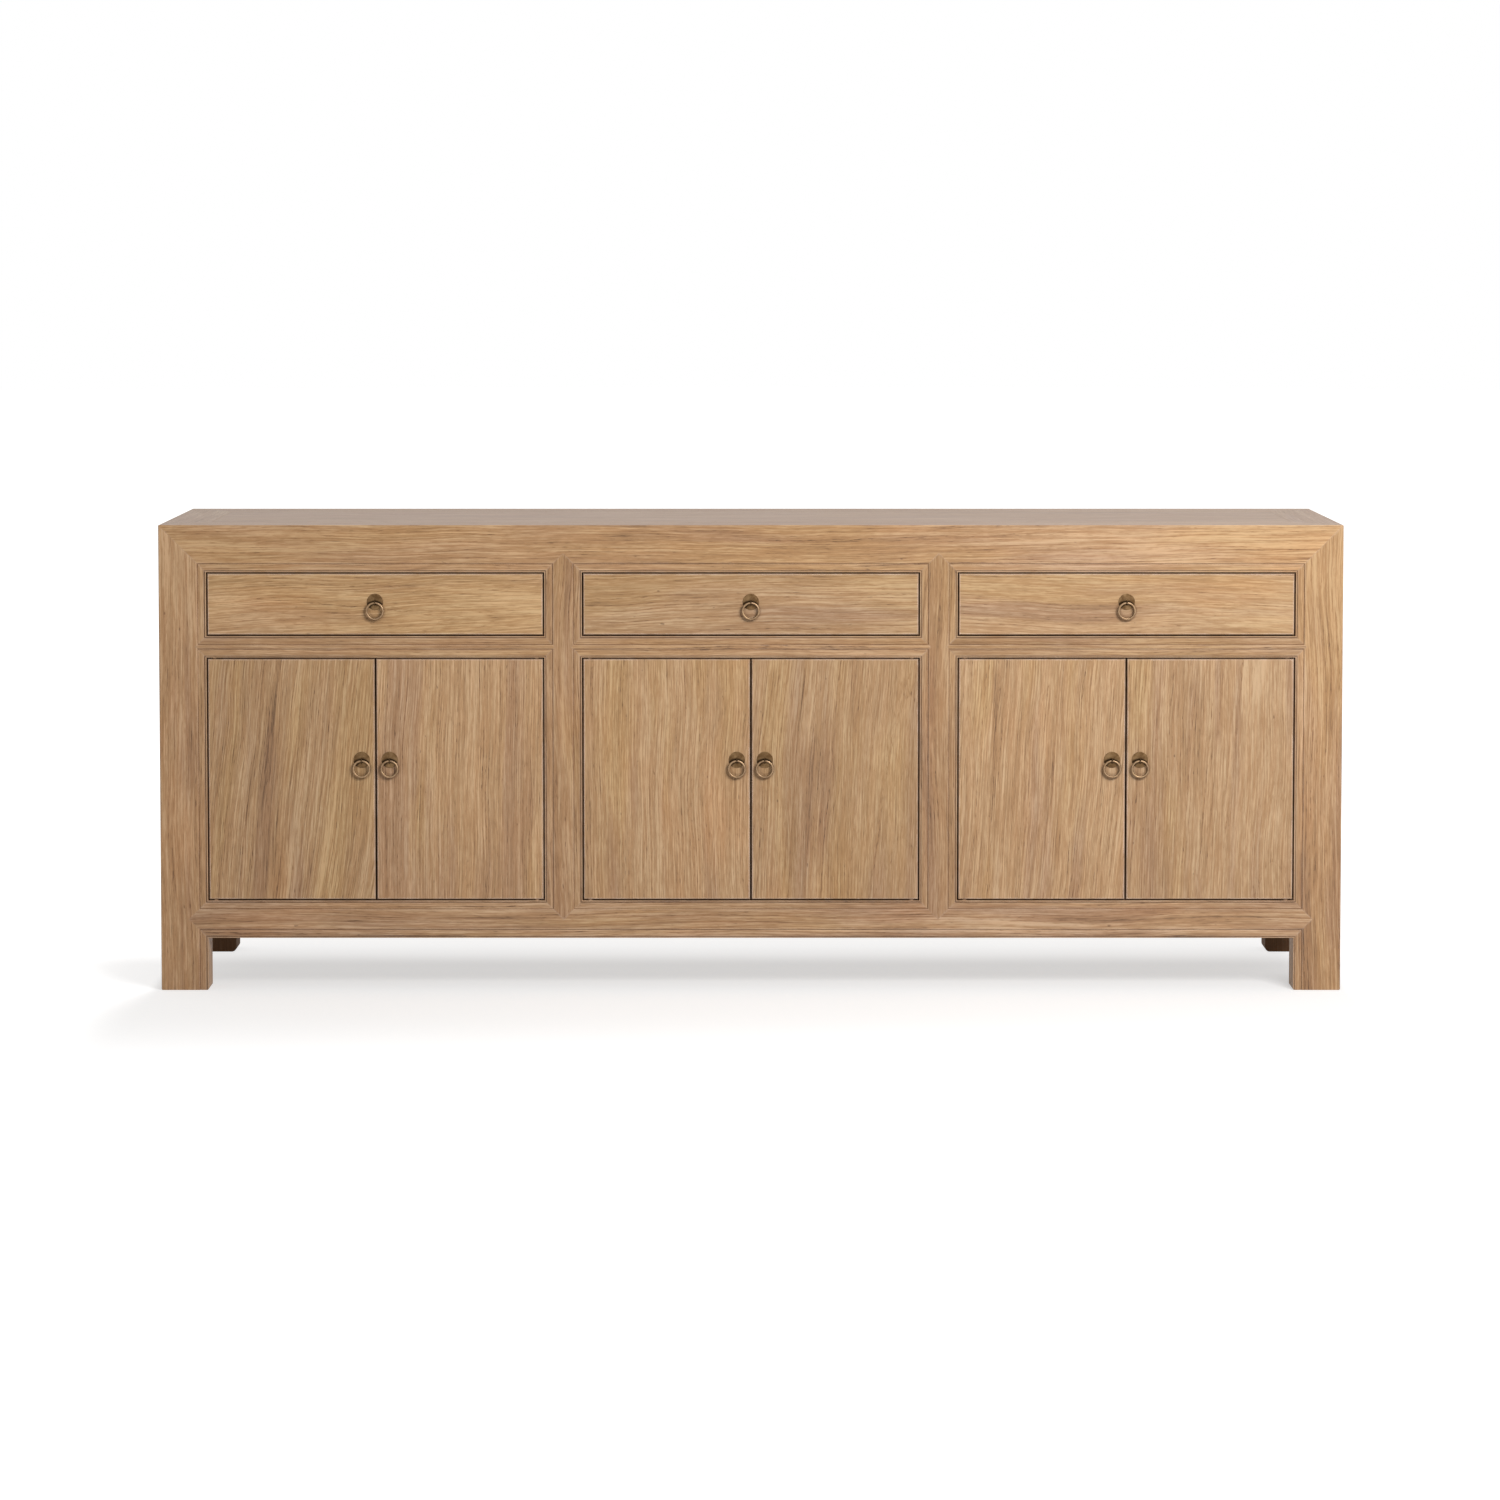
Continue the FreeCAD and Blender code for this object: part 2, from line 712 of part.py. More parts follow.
for name, face, inward, moulded, depth, extras in (
        ("top_rail_front", "front", "+", True, front_tenon_depth,
         [post_seat, post_seat_right]),
        ("top_rail_back", "back", "-", False, back_tenon_depth,
         [back_post_seat, back_post_seat_right] + back_rooms)):
    run = prism(name + "_run", "YZ", [top_rail_outline(face, inward, moulded)], "left", "right")
    ends = corner_cuts(name, face, inward)
    ends.append(corner_tenon(name + "_mortise", *depth, "mortise_play"))
    ends += [mirror(end.Name + "_right", end) for end in ends]
    keep(name, cut(name, run, ends + extras + [panel_groove, partition_room, partition_room_right]))

side_top_run = prism("top_rail_side_run", "XZ", [[
    ("left", "drawer_top"),
    ("left + side_rail_depth", "drawer_top"),
    ("left + side_rail_depth", "top_underside"),
    ("left + leg_width", "top_underside"),
    ("left + leg_width", "top"),
    ("left + front_arris", "top"),
    ("left", "top - front_arris", "left + front_arris", "top - front_arris"),
]], "front", "back")
side_top_cuts = []
for tag, face, inward in (("front", "front", "+"), ("back", "back", "-")):
    side_top_cuts.append(prism(f"top_rail_side_{tag}_plan", "XY", [[
        ("left", face), ("left + leg_width", face), ("left + leg_width", f"{face} {inward} leg_width")]],
        "drawer_top", "top"))
    side_top_cuts.append(prism(f"top_rail_side_{tag}_below", "YZ", [[
        (face, "drawer_top"), (f"{face} {inward} frame_depth", "drawer_top"),
        (f"{face} {inward} frame_depth", "top - frame_depth"), (face, "top")]],
        "left", "left + leg_width"))
side_top = cut("top_rail_side_shaped", side_top_run, side_top_cuts)
pair("top_rail", cut("top_rail_side", fuse("top_rail_side_blank", [side_top, side_top_tenon]),
                     [panel_groove, side_room]))

battens = []
for tag, middle in (("1", "-bay_pitch"), ("2", "-post_line"), ("3", "0"),
                    ("4", "post_line"), ("5", "bay_pitch")):
    span = (f"{middle} - batten_width / 2", f"{middle} + batten_width / 2")
    battens.append(box(f"top_batten_{tag}", span,
                       ("front_inner", "back_inner"), ("batten_base", "top_underside")))
keep("top_battens", group("top_battens", battens))

keep("back_panels", group("back_panels", back_panels))
keep("side_panels", group("side_panels", [side_panel, mirror("side_panel_right_board", side_panel)]))
keep("partitions", group("partitions", [partition, mirror("partition_right_board", partition)]))
keep("floor_boards", group("floor_boards", [
    floor_left, floor_middle, mirror("floor_board_right", floor_left)]))


# Shelves on bearers, and the runners that carry the drawers

bearers = []
shelves = []
runners = []
for bay, middle in BAYS.items():
    shelves.append(box(
        f"shelf_{bay}",
        (f"{middle} - (half_bay + post_width / 2 - partition_thickness / 2 - board_clearance)",
         f"{middle} + half_bay + post_width / 2 - partition_thickness / 2 - board_clearance"),
        ("front_inner + shelf_setback", "back_inner - board_clearance"),
        ("shelf_height - shelf_thickness", "shelf_height")))
    low, high = "post_line - post_width / 2", "wall_offset"
    for side, sign in (("left", "-"), ("right", "+")):
        near, far = f"{middle} {sign} ({low})", f"{middle} {sign} ({high})"
        span = (far, near) if sign == "-" else (near, far)
        bearers.append(box(f"shelf_bearer_{bay}_{side}", span, ("front_inner", "back_inner"),
                           ("shelf_height - shelf_thickness - bearer_height",
                            "shelf_height - shelf_thickness")))
        edge = f"{middle} {sign} (half_bay - runner_width)"
        guide = f"{middle} {sign} (box_half + guide_clearance)"
        outline = [(edge, "runner_top - runner_thickness"), (far, "runner_top - runner_thickness"),
                   (far, "runner_top + guide_height"), (guide, "runner_top + guide_height"),
                   (guide, "runner_top"), (edge, "runner_top")]
        runners.append(prism(f"runner_{bay}_{side}", "XZ", [outline], "front_inner", "back_inner"))
keep("shelf_bearers", group("shelf_bearers", bearers))
keep("shelves", group("shelves", shelves))
keep("drawer_runners", group("drawer_runners", runners))


# Doors: a board with its two pivots, and two battens across its back

def eased_board(name, x, z, thickness):
    """A board with its face at the doors' plane and the edges of that face softened."""
    body = doc.addObject("PartDesign::Body", name)
    sketch = body.newObject("Sketcher::SketchObject", name + "_outline")
    plane = next(item for item in body.Origin.OriginFeatures if item.Role == "XZ_Plane")
    sketch.AttachmentSupport = [(plane, "")]
    sketch.MapMode = "FlatFace"
    fill_sketch(sketch, [[(x[0], z[0]), (x[1], z[0]), (x[1], z[1]), (x[0], z[1])]])
    pad = body.newObject("PartDesign::Pad", name + "_pad")
    pad.Profile = sketch
    bind(pad, "Length", thickness)
    bind(body, "Placement.Base.y", f"face + {thickness}")
    doc.recompute()
    shown = min(pad.Shape.Faces, key=lambda side: side.CenterOfMass.y)
    edges = [f"Edge{i}" for i, edge in enumerate(pad.Shape.Edges, start=1)
             if any(edge.isSame(rim) for rim in shown.Edges)]
    easing = body.newObject("PartDesign::Chamfer", name + "_easing")
    easing.Base = (pad, edges)
    bind(easing, "Size", "face_ease")
    return body


def rod(name, sides, radius, spot, length):
    """A straight bar with flat facets, from a spot towards the back."""
    item = doc.addObject("Part::Prism", name)
    item.Placement = FreeCAD.Placement(FreeCAD.Vector(), FreeCAD.Rotation(Z_AXIS, Y_AXIS))
    item.Polygon = sides
    bind(item, "Circumradius", radius)
    bind(item, "Height", length)
    for place, text in zip("xyz", spot):
        bind(item, "Placement.Base." + place, text)
    return item


def pull_hole(name, x, z, thickness):
    return rod(name, SHANK_SIDES, "shank_radius + shank_clearance",
               (x, "face", f"{z} - eye_drop"), thickness)


door_low = "door_base + reveal_gap"
door_high = "door_top - reveal_gap"
stops = []
for bay, middle in BAYS.items():
    edge, meeting = f"{middle} - half_bay + reveal_gap", f"{middle} - meeting_gap / 2"
    board = eased_board(f"door_board_{bay}", (edge, meeting), (door_low, door_high), "door_thickness")
    spot = pivot_place(middle, "-")
    pivots = [
        cylinder(f"door_pivot_lower_{bay}", (*spot, f"{door_low} - pivot_length"),
                 "pivot_radius", "pivot_length"),
        cylinder(f"door_pivot_upper_{bay}", (*spot, door_high), "pivot_radius", "pivot_length"),
    ]
    board = cut(f"door_drilled_{bay}", fuse(f"door_pivoted_{bay}", [board] + pivots),
                [pull_hole(f"door_hole_{bay}", f"{middle} - door_pull_offset",
                           "door_pull_height", "door_thickness")])
    span = (f"{edge} + door_batten_side_gap", f"{meeting} - door_batten_side_gap")
    depth = ("face + door_thickness", "face + door_thickness + door_batten_thickness")
    rails = [
        box(f"door_batten_lower_{bay}", span, depth,
            (f"{door_low} + door_batten_end_gap",
             f"{door_low} + door_batten_end_gap + door_batten_width")),
        box(f"door_batten_upper_{bay}", span, depth,
            (f"{door_high} - door_batten_end_gap - door_batten_width",
             f"{door_high} - door_batten_end_gap")),
    ]
    leaf = keep(f"door_{2 * int(bay) - 1}", group(f"door_left_{bay}", [board] + rails))
    keep(f"door_{2 * int(bay)}", mirror(f"door_right_{bay}", leaf, middle))
    stops.append(box(f"door_stop_{bay}",
                     (f"{middle} - door_stop_length / 2", f"{middle} + door_stop_length / 2"),
                     ("face + door_thickness + door_stop_gap",
                      "face + door_thickness + door_stop_gap + door_stop_depth"),
                     ("door_top - door_stop_drop", "door_top")))
keep("door_stops", group("door_stops", stops))


# Drawers: a front dovetailed to the sides, a back housed in them, and a grooved bottom

drawer_low = "drawer_base + reveal_gap"
drawer_high = "drawer_top - reveal_gap"
side_high = f"{drawer_high} - drawer_top_gap"
side_height = f"({side_high} - ({drawer_low}))"
joint_line = "face + drawer_front_thickness"
drawer_end = "back_inner - drawer_end_room"
TAIL_MIDDLE_SHARES = ("1 / 6", "1 / 2", "5 / 6")
TAIL_HALF_WIDTH_SHARE = "1 / 12"


def tails(name, x):
    """The dovetails at the front of a drawer side."""
    loops = []
    for share in TAIL_MIDDLE_SHARES:
        middle = f"{drawer_low} + {side_height} * {share}"
        half = f"{side_height} * {TAIL_HALF_WIDTH_SHARE}"
        tip = f"{joint_line} - dovetail_length"
        loops.append([
            (joint_line, f"{middle} - {half}"), (joint_line, f"{middle} + {half}"),
            (tip, f"{middle} + {half} + dovetail_flare"),
            (tip, f"{middle} - {half} - dovetail_flare")])
    return prism(name, "YZ", loops, *x)


for bay, middle in BAYS.items():
    front_board = eased_board(
        f"drawer_front_board_{bay}",
        (f"{middle} - half_bay + reveal_gap", f"{middle} + half_bay - reveal_gap"),
        (drawer_low, drawer_high), "drawer_front_thickness")
    outside, inside = "box_half", "box_half - drawer_side_thickness"
    side_x = (f"{middle} - ({outside})", f"{middle} - ({inside})")
    tail_left = tails(f"drawer_tails_{bay}", side_x)
    within = (f"{middle} - ({inside} + drawer_groove_depth)",
              f"{middle} + {inside} + drawer_groove_depth")
    bottom = box(f"drawer_bottom_{bay}", within,
                 (f"{joint_line} - drawer_groove_depth", drawer_end),
                 (f"{drawer_low} + drawer_bottom_raise",
                  f"{drawer_low} + drawer_bottom_raise + drawer_bottom_thickness"))
    rear = box(f"drawer_back_{bay}", within,
               (f"{drawer_end} - drawer_side_thickness", drawer_end),
               (f"{drawer_low} + drawer_bottom_raise + drawer_bottom_thickness", side_high))
    side = cut(f"drawer_side_left_{bay}",
               fuse(f"drawer_side_blank_{bay}", [
                   box(f"drawer_side_board_{bay}", side_x, (joint_line, drawer_end),
                       (drawer_low, side_high)), tail_left]),
               [bottom, rear])
    keep(f"drawer_front_{bay}", cut(f"drawer_front_{bay}", front_board, [
        tail_left, mirror(f"drawer_tails_right_{bay}", tail_left, middle), bottom,
        pull_hole(f"drawer_hole_{bay}", middle, "drawer_pull_height", "drawer_front_thickness")]))
    keep(f"drawer_box_{bay}", group(f"drawer_box_{bay}", [
        side, mirror(f"drawer_side_right_{bay}", side, middle), rear, bottom]))


# Ring pulls: a plate, a split pin with an eye, and a ring that hangs in the eye

def faceted_ring(name, spot, axis, radius, wire_radius, facets):
    """A ring of round wire drawn with flat facets, lying round an axis through the spot."""
    around, across = facets
    ring, wire = number(radius), number(wire_radius)
    corners = []
    for i in range(around):
        turn = 2 * math.pi * i / around
        out = FreeCAD.Vector(math.cos(turn), math.sin(turn), 0)
        corners.append([
            out * (ring + wire * math.cos(2 * math.pi * k / across))
            + Z_AXIS * (wire * math.sin(2 * math.pi * k / across)) for k in range(across)])
    faces = []
    for i in range(around):
        for k in range(across):
            here, there = corners[i - 1], corners[i]
            loop = [here[k - 1], here[k], there[k], there[k - 1], here[k - 1]]
            faces.append(Part.Face(Part.makePolygon(loop)))
    item = doc.addObject("Part::Feature", name)
    item.Shape = Part.Solid(Part.Shell(faces))
    base = FreeCAD.Vector(*[number(text) for text in spot])
    item.Placement = FreeCAD.Placement(base, FreeCAD.Rotation(Z_AXIS, axis))
    return item


def ring_pull(name, x, z, thickness):
    """Plate and pin in one piece list, and the ring by itself."""
    pin_z = f"{z} - eye_drop"
    eye_y = "face - plate_thickness - eye_reach"
    plate = cut(name + "_plate", rod(name + "_disc", PLATE_SIDES, "plate_radius",
                                     (x, "face - plate_thickness", z), "plate_thickness"),
                [rod(name + "_plate_hole", SHANK_SIDES, "shank_radius + shank_clearance",
                     (x, "face - plate_thickness", pin_z), "plate_thickness")])
    shank_start = "face - plate_thickness - eye_wire_radius"
    shank_end = f"face + {thickness} + clinch_thickness"
    pin = fuse(name + "_pin", [
        faceted_ring(name + "_eye", (x, eye_y, pin_z), X_AXIS, "eye_radius", "eye_wire_radius",
                     EYE_FACETS),
        rod(name + "_shank", SHANK_SIDES, "shank_radius", (x, shank_start, pin_z),
            f"{shank_end} - ({shank_start})"),
        box(name + "_clinch", (f"{x} - clinch_width / 2", f"{x} + clinch_width / 2"),
            (f"face + {thickness}", shank_end),
            (f"{pin_z} - clinch_length", f"{pin_z} + clinch_length"))])
    keep(name.replace("pull", "pull_plate"), group(name + "_fixed", [plate, pin]))
    keep(name.replace("pull", "pull_ring"), faceted_ring(
        name + "_ring", (x, eye_y, f"{pin_z} - ring_radius"), Y_AXIS, "ring_radius",
        "ring_wire_radius", RING_FACETS))


for bay, middle in BAYS.items():
    ring_pull(f"pull_drawer_{bay}", middle, "drawer_pull_height", "drawer_front_thickness")
    for side, sign in ((0, "-"), (1, "+")):
        ring_pull(f"pull_door_{2 * int(bay) - 1 + side}", f"{middle} {sign} door_pull_offset",
                  "door_pull_height", "door_thickness")


# Check and write

doc.recompute()
for item in doc.Objects:
    if "Invalid" in item.State or "Error" in item.State:
        raise RuntimeError(f"{item.Name} failed: {item.State}")
os.makedirs("parts", exist_ok=True)
for item in nodes:
    if item.Shape.isNull() or not item.Shape.isValid():
        raise RuntimeError(f"{item.Label} has no valid shape")
for item in nodes:
    item.Shape.exportStep(f"parts/{item.Label}.step")
print(len(nodes), "pieces written")
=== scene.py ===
import json
import math

import bmesh
import bpy
from bpy.props import FloatProperty, FloatVectorProperty, PointerProperty
from mathutils import Matrix, Vector


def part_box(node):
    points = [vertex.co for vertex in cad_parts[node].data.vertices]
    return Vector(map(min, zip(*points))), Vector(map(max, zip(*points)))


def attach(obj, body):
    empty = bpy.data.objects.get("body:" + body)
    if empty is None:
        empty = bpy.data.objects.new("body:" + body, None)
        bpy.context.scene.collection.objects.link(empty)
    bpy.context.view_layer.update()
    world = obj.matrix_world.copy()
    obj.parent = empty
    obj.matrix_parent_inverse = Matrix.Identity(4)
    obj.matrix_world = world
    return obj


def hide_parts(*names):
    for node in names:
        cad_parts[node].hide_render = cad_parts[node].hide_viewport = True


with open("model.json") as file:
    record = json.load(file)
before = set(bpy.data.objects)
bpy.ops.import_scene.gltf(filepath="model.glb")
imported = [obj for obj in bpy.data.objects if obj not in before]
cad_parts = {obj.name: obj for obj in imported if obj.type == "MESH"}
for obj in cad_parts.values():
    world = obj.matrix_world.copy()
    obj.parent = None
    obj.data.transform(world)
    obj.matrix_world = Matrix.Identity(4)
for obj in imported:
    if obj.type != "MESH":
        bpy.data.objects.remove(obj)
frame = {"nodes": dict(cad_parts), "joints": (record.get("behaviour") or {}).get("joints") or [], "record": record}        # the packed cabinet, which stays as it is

bl_info = {
    "name": "Kang cabinet",
    "version": (1, 0, 0),
    "blender": (4, 5, 0),
    "location": "3D View > Sidebar > Cabinet",
    "description": "Limed elm and old brass for a long low cabinet, and the studio it stands in",
    "category": "Object",
}

# Places that the packed cabinet gives, in metres

NODES = frame["nodes"]
BODY_OF = {node: body for body, group in frame["record"]["behaviour"]["bodies"].items() for node in group}
JOINT_AT = {joint["name"]: Vector(joint["pos_m"]) for joint in frame["joints"] if "pos_m" in joint}
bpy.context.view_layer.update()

FACE_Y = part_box("door_1")[0].y              # face of the doors and drawer fronts
FRONT_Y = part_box("leg_front_left")[0].y     # face of the frame
HALF_WIDTH = -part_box("leg_front_left")[0].x
BAY_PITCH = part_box("drawer_front_3")[0].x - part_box("drawer_front_2")[0].x

# Small sizes that no box gives, in metres

DOOR_THICKNESS = 0.022         # a door's board, without the battens behind it
BOX_SIDE_THICKNESS = 0.012     # the sides of a drawer
CLINCH_THICKNESS = 0.0012      # a pin's ends, turned over behind the board
GRAIN_CHANGE_PLAY = 0.0001     # keeps a board's faces on their own side of a change of grain


# Sizes and colours that a user would change

def colour_property(name, description, default):
    return FloatVectorProperty(name=name, description=description, subtype="COLOR", size=4,
                               min=0.0, soft_max=1.0, default=(*default, 1.0))


def length_property(name, description, default, **limits):
    return FloatProperty(name=name, description=description, default=default, unit="LENGTH",
                         subtype="DISTANCE", precision=4, **limits)


def share_property(name, description, default):
    return FloatProperty(name=name, description=description, default=default, min=0.0, max=1.0,
                         subtype="FACTOR")


class ElmFinish(bpy.types.PropertyGroup):
    """Limed elm, as it shows on the outside"""
    pale: colour_property("Limed fibre", "Fibres that hold the lime", (0.60, 0.405, 0.235))
    body: colour_property("Body", "The wood between the rings", (0.405, 0.236, 0.113))
    dark: colour_property("Ring line", "Open grain at the start of each ring", (0.115, 0.058, 0.026))
    ochre: colour_property("Ochre tint", "Multiplied over the yellow bands", (1.0, 0.99, 0.89))
    mauve: colour_property("Mauve tint", "Multiplied over the grey pink bands", (0.86, 0.84, 0.89))
    russet: colour_property("Russet tint", "Multiplied over the red patches", (1.03, 0.965, 0.91))
    # Painted sheen on faces that look up, as a grey cast
    sheen_grey: colour_property("Sheen Grey", "Grey film on faces that look up", (0.425, 0.34, 0.305))
    # Pale arrises: rubbing and a painted highlight
    worn_highlight: colour_property("Rubbed and highlit edge", "Colour of the rubbed arrises", (0.80, 0.62, 0.50))
    # Old wax in quirks and grooves, and the painted shade there, on the back feet and of the rings
    grime_and_shade: colour_property("Grime And Shade", "Old wax in quirks and grooves", (0.110, 0.047, 0.016))
    # Painted shade in the gaps round doors and drawers
    seam: colour_property("Seam", "Brown wood in the gaps round doors and drawers", (0.17, 0.082, 0.034))
    tint_fall: share_property("Tint fall", "Turn of the tint from mauve to ochre per metre of height", 0.16)
    ring_spacing: length_property("Ring spacing", "Width of a year's growth", 0.0042, min=0.001)
    roughness: share_property("Roughness", "Roughness of the waxed surface", 0.52)
    # How far the rubbing and painted highlight reach in from an arris
    wear_highlight_width: length_property("Wear and highlight width", "How far rubbing reaches in from an arris", 0.003)
    # How far the wax and painted shade reach out of a corner
    groove_width: length_property("Wax and shade width", "How far grime reaches out of a corner", 0.0022)


class InsideFinish(bpy.types.PropertyGroup):
    """Elm left bare inside the carcase"""
    pale: colour_property("Pale fibre", "Lightest fibres of the bare wood", (0.50, 0.36, 0.21))
    body: colour_property("Body", "The bare wood between the rings", (0.36, 0.235, 0.125))
    dark: colour_property("Ring line", "Open grain at the start of each ring", (0.15, 0.085, 0.04))


class BrassFinish(bpy.types.PropertyGroup):
    """Old brass of the pulls, and their sizes"""
    patina: colour_property("Patina", "Brown skin in the hollows", (0.115, 0.062, 0.026))
    brass: colour_property("Brass", "Metal under the patina", (0.245, 0.150, 0.072))
    rubbed: colour_property("Rubbed brass", "Metal where fingers rub it", (0.66, 0.46, 0.30))
    roughness: share_property("Roughness", "Roughness of the old metal", 0.42)
    plate_radius: length_property("Plate radius", "Radius of the round plate", 0.0153)
    plate_thickness: length_property("Plate thickness", "Thickness of the plate at its middle", 0.0014)
    plate_raise: length_property("Plate raise", "Plate centre above the eye", 0.0015)
    ring_radius: length_property("Ring radius", "Radius to the middle of the wire", 0.015)
    ring_wire: length_property("Ring wire", "Radius of the ring's wire", 0.00225)
    eye_wire: length_property("Eye wire", "Radius of the eye's wire", 0.0013)
    eye_radius: length_property("Eye radius", "Radius of the eye to the middle of its wire", 0.0039)
    leg_length: length_property("Leg length", "Length of each leg turned over at the back", 0.009)


class StageSettings(bpy.types.PropertyGroup):
    """Camera, floor and light"""
    distance: length_property("Camera distance", "From the camera to the front of the cabinet", 7.196)
    height: length_property("Camera height", "Height of the camera above the floor", 1.393)
    side: length_property("Camera offset", "How far right of the middle the camera stands", -0.0016)
    tilt: FloatProperty(name="Camera tilt", description="How far the camera looks down",
                        subtype="ANGLE", default=math.radians(3.051))
    lens: FloatProperty(name="Focal length", description="Focal length on a full frame",
                        subtype="DISTANCE_CAMERA", default=93.34)
    shift: FloatProperty(name="Vertical shift", description="Lens shift, in frame widths", default=-0.2)
    floor_radius: length_property("Floor radius", "Radius of the floor", 30.0)
    floor_glow: share_property("Floor glow", "White that the floor shows even in full shadow", 0.59)
    floor_front: share_property("Front shade", "Glow taken from the floor in front of the feet", 0.075)
    floor_behind: share_property("Back glow", "Glow added under the back of the cabinet", 0.155)
    floor_beside: share_property("Side glow", "Glow added beside the cabinet", 0.13)
    floor_fade: length_property("Floor fade", "Distance at which the floor is plain white", 1.6)
    floor_white: colour_property("Floor", "Colour of the lit floor", (0.55, 0.55, 0.55))
    ambient: FloatProperty(name="Ambient", description="Light from all round", default=0.45, min=0.0)
    key_power: FloatProperty(name="Key light", description="Power of the large soft light", default=119.0,
                             unit="POWER", min=0.0)
    key_size: length_property("Key size", "Width of the large soft light", 1.7)


# Shader wiring

WHITE = (1.0, 1.0, 1.0, 1.0)


def put(tree, kind, inputs=None, **settings):
    """Add a shader node, set it up, and join or set its inputs."""
    node = tree.nodes.new("ShaderNode" + kind)
    for name, value in settings.items():
        setattr(node, name, value)
    for name, value in (inputs or {}).items():
        if isinstance(value, bpy.types.NodeSocket):
            tree.links.new(value, node.inputs[name])
        else:
            node.inputs[name].default_value = value
    return node


def calc(tree, operation, *values):
    return put(tree, "Math", dict(enumerate(values)), operation=operation).outputs[0]


def length_of(tree, first, second):
    """Length of a line that runs so far one way and so far square to it."""
    return calc(tree, "SQRT", calc(tree, "MULTIPLY_ADD", first, first,
                                   calc(tree, "MULTIPLY", second, second)))


def vector_calc(tree, operation, *values):
    return put(tree, "VectorMath", dict(enumerate(values)), operation=operation).outputs[0]


def agreement(tree, first, second):
    """1 where two directions are the same."""
    return put(tree, "VectorMath", {0: first, 1: second}, operation="DOT_PRODUCT").outputs["Value"]


def split(tree, vector):
    return put(tree, "SeparateXYZ", {0: vector}).outputs


def join(tree, *parts):
    return put(tree, "CombineXYZ", dict(enumerate(parts))).outputs[0]


def object_place(tree):
    return put(tree, "TexCoord").outputs["Object"]


def object_facing(tree):
    """Parts of the direction that the surface faces, as the object stands at rest."""
    return split(tree, put(tree, "TexCoord").outputs["Normal"])


def remap(tree, value, low, high, new_low=0.0, new_high=1.0):
    """Carry a span of values smoothly on to another."""
    return put(tree, "MapRange", {"Value": value, "From Min": low, "From Max": high,
                                  "To Min": new_low, "To Max": new_high},
               interpolation_type="SMOOTHSTEP").outputs[0]


def mix_colour(tree, factor, low, high, blend_type="MIX"):
    return put(tree, "Mix", {0: factor, 6: low, 7: high}, data_type="RGBA",
               blend_type=blend_type).outputs[2]


def noise(tree, vector, scale=1.0, detail=2.0, roughness=0.5):
    return put(tree, "TexNoise", {"Vector": vector, "Scale": scale, "Detail": detail,
                                  "Roughness": roughness}).outputs["Fac"]


def new_group(name, inputs, outputs):
    """A shader node group with named sockets, and its input and output nodes."""
    tree = bpy.data.node_groups.new(name, "ShaderNodeTree")
    for label, kind, default in inputs:
        socket = tree.interface.new_socket(label, in_out="INPUT", socket_type="NodeSocket" + kind)
        if default is not None:
            socket.default_value = default
    for label, kind in outputs:
        tree.interface.new_socket(label, in_out="OUTPUT", socket_type="NodeSocket" + kind)
    return tree, tree.nodes.new("NodeGroupInput").outputs, tree.nodes.new("NodeGroupOutput").inputs


def use_group(tree, name, build, inputs):
    """Place a shared group, which is built the first time that it is asked for."""
    group = bpy.data.node_groups.get(name) or build()
    return put(tree, "Group", inputs, node_tree=group).outputs


def new_material(name):
    material = bpy.data.materials.new(name)
    material.use_nodes = True
    return material, material.node_tree


def finish_surface(tree, colour, rough, height, bump_strength, bump_depth):
    """Join the colour, the roughness and the bump to the material's shader."""
    shader = tree.nodes["Principled BSDF"]
    tree.links.new(colour, shader.inputs["Base Color"])
    tree.links.new(rough, shader.inputs["Roughness"])
    bump = put(tree, "Bump", {"Strength": bump_strength, "Distance": bump_depth, "Height": height})
    tree.links.new(bump.outputs[0], shader.inputs["Normal"])
    return shader


# Wood

# Noise in the wood: waves per metre across the face, into the board and along the grain,
# then its detail and its roughness
FIELDS = {
    "wander": ((2.2, 2.2, 1.6), 2.0, 0.5),
    "ripple": ((12.0, 8.0, 5.0), 2.0, 0.5),
    "drift": ((40.0, 4.0, 0.6), 2.0, 0.5),
    "fading": ((120.0, 40.0, 5.0), 2.0, 0.5),
    "broad": ((80.0, 30.0, 3.6), 3.0, 0.6),
    "streak": ((330.0, 200.0, 3.6), 3.0, 0.6),
    "hair": ((800.0, 700.0, 8.0), 3.0, 0.6),
    "fleck": ((330.0, 280.0, 34.0), 2.0, 0.6),
    "pores": ((700.0, 600.0, 70.0), 1.0, 0.5),
    "ochre": ((17.0, 8.0, 1.8), 2.0, 0.5),
    "mauve": ((26.0, 9.0, 1.8), 3.0, 0.5),
    "blush": ((130.0, 80.0, 9.0), 2.0, 0.5),
    "russet": ((9.0, 6.0, 1.9), 2.0, 0.5),
    "pits": ((150.0, 150.0, 60.0), 1.0, 0.5),
}
# Spans of noise or tone, and what they are carried on to where that isn't 0 to 1
GRAIN_SPANS = {
    "square": (0.10, 0.80, 0.35, 1.0),
    "fading": (0.36, 0.60, 0.2, 1.0),
    "pores": (0.54, 0.68),
    "body": (-0.05, 0.55),
    "pale": (0.50, 0.95),
    "ochre": (0.46, 0.66),
    "mauve": (0.50, 0.70),
    "blush": (0.40, 0.60, 0.0, 0.45),
    "russet": (0.58, 0.76),
    "pits": (0.76, 0.84, 0.0, 0.6),
}
SEED_WAVES = (3.17, 1.37, 7.11)      # how far one step of a seed moves the noise
WANDER, RIPPLE = 0.05, 0.005         # metres that the trunk strays, and that its rings ripple
RING_DRIFT = 5.0                     # rings that the drift adds or takes away
LINE_FADE = 2.2                      # how fast a ring line fades through its year
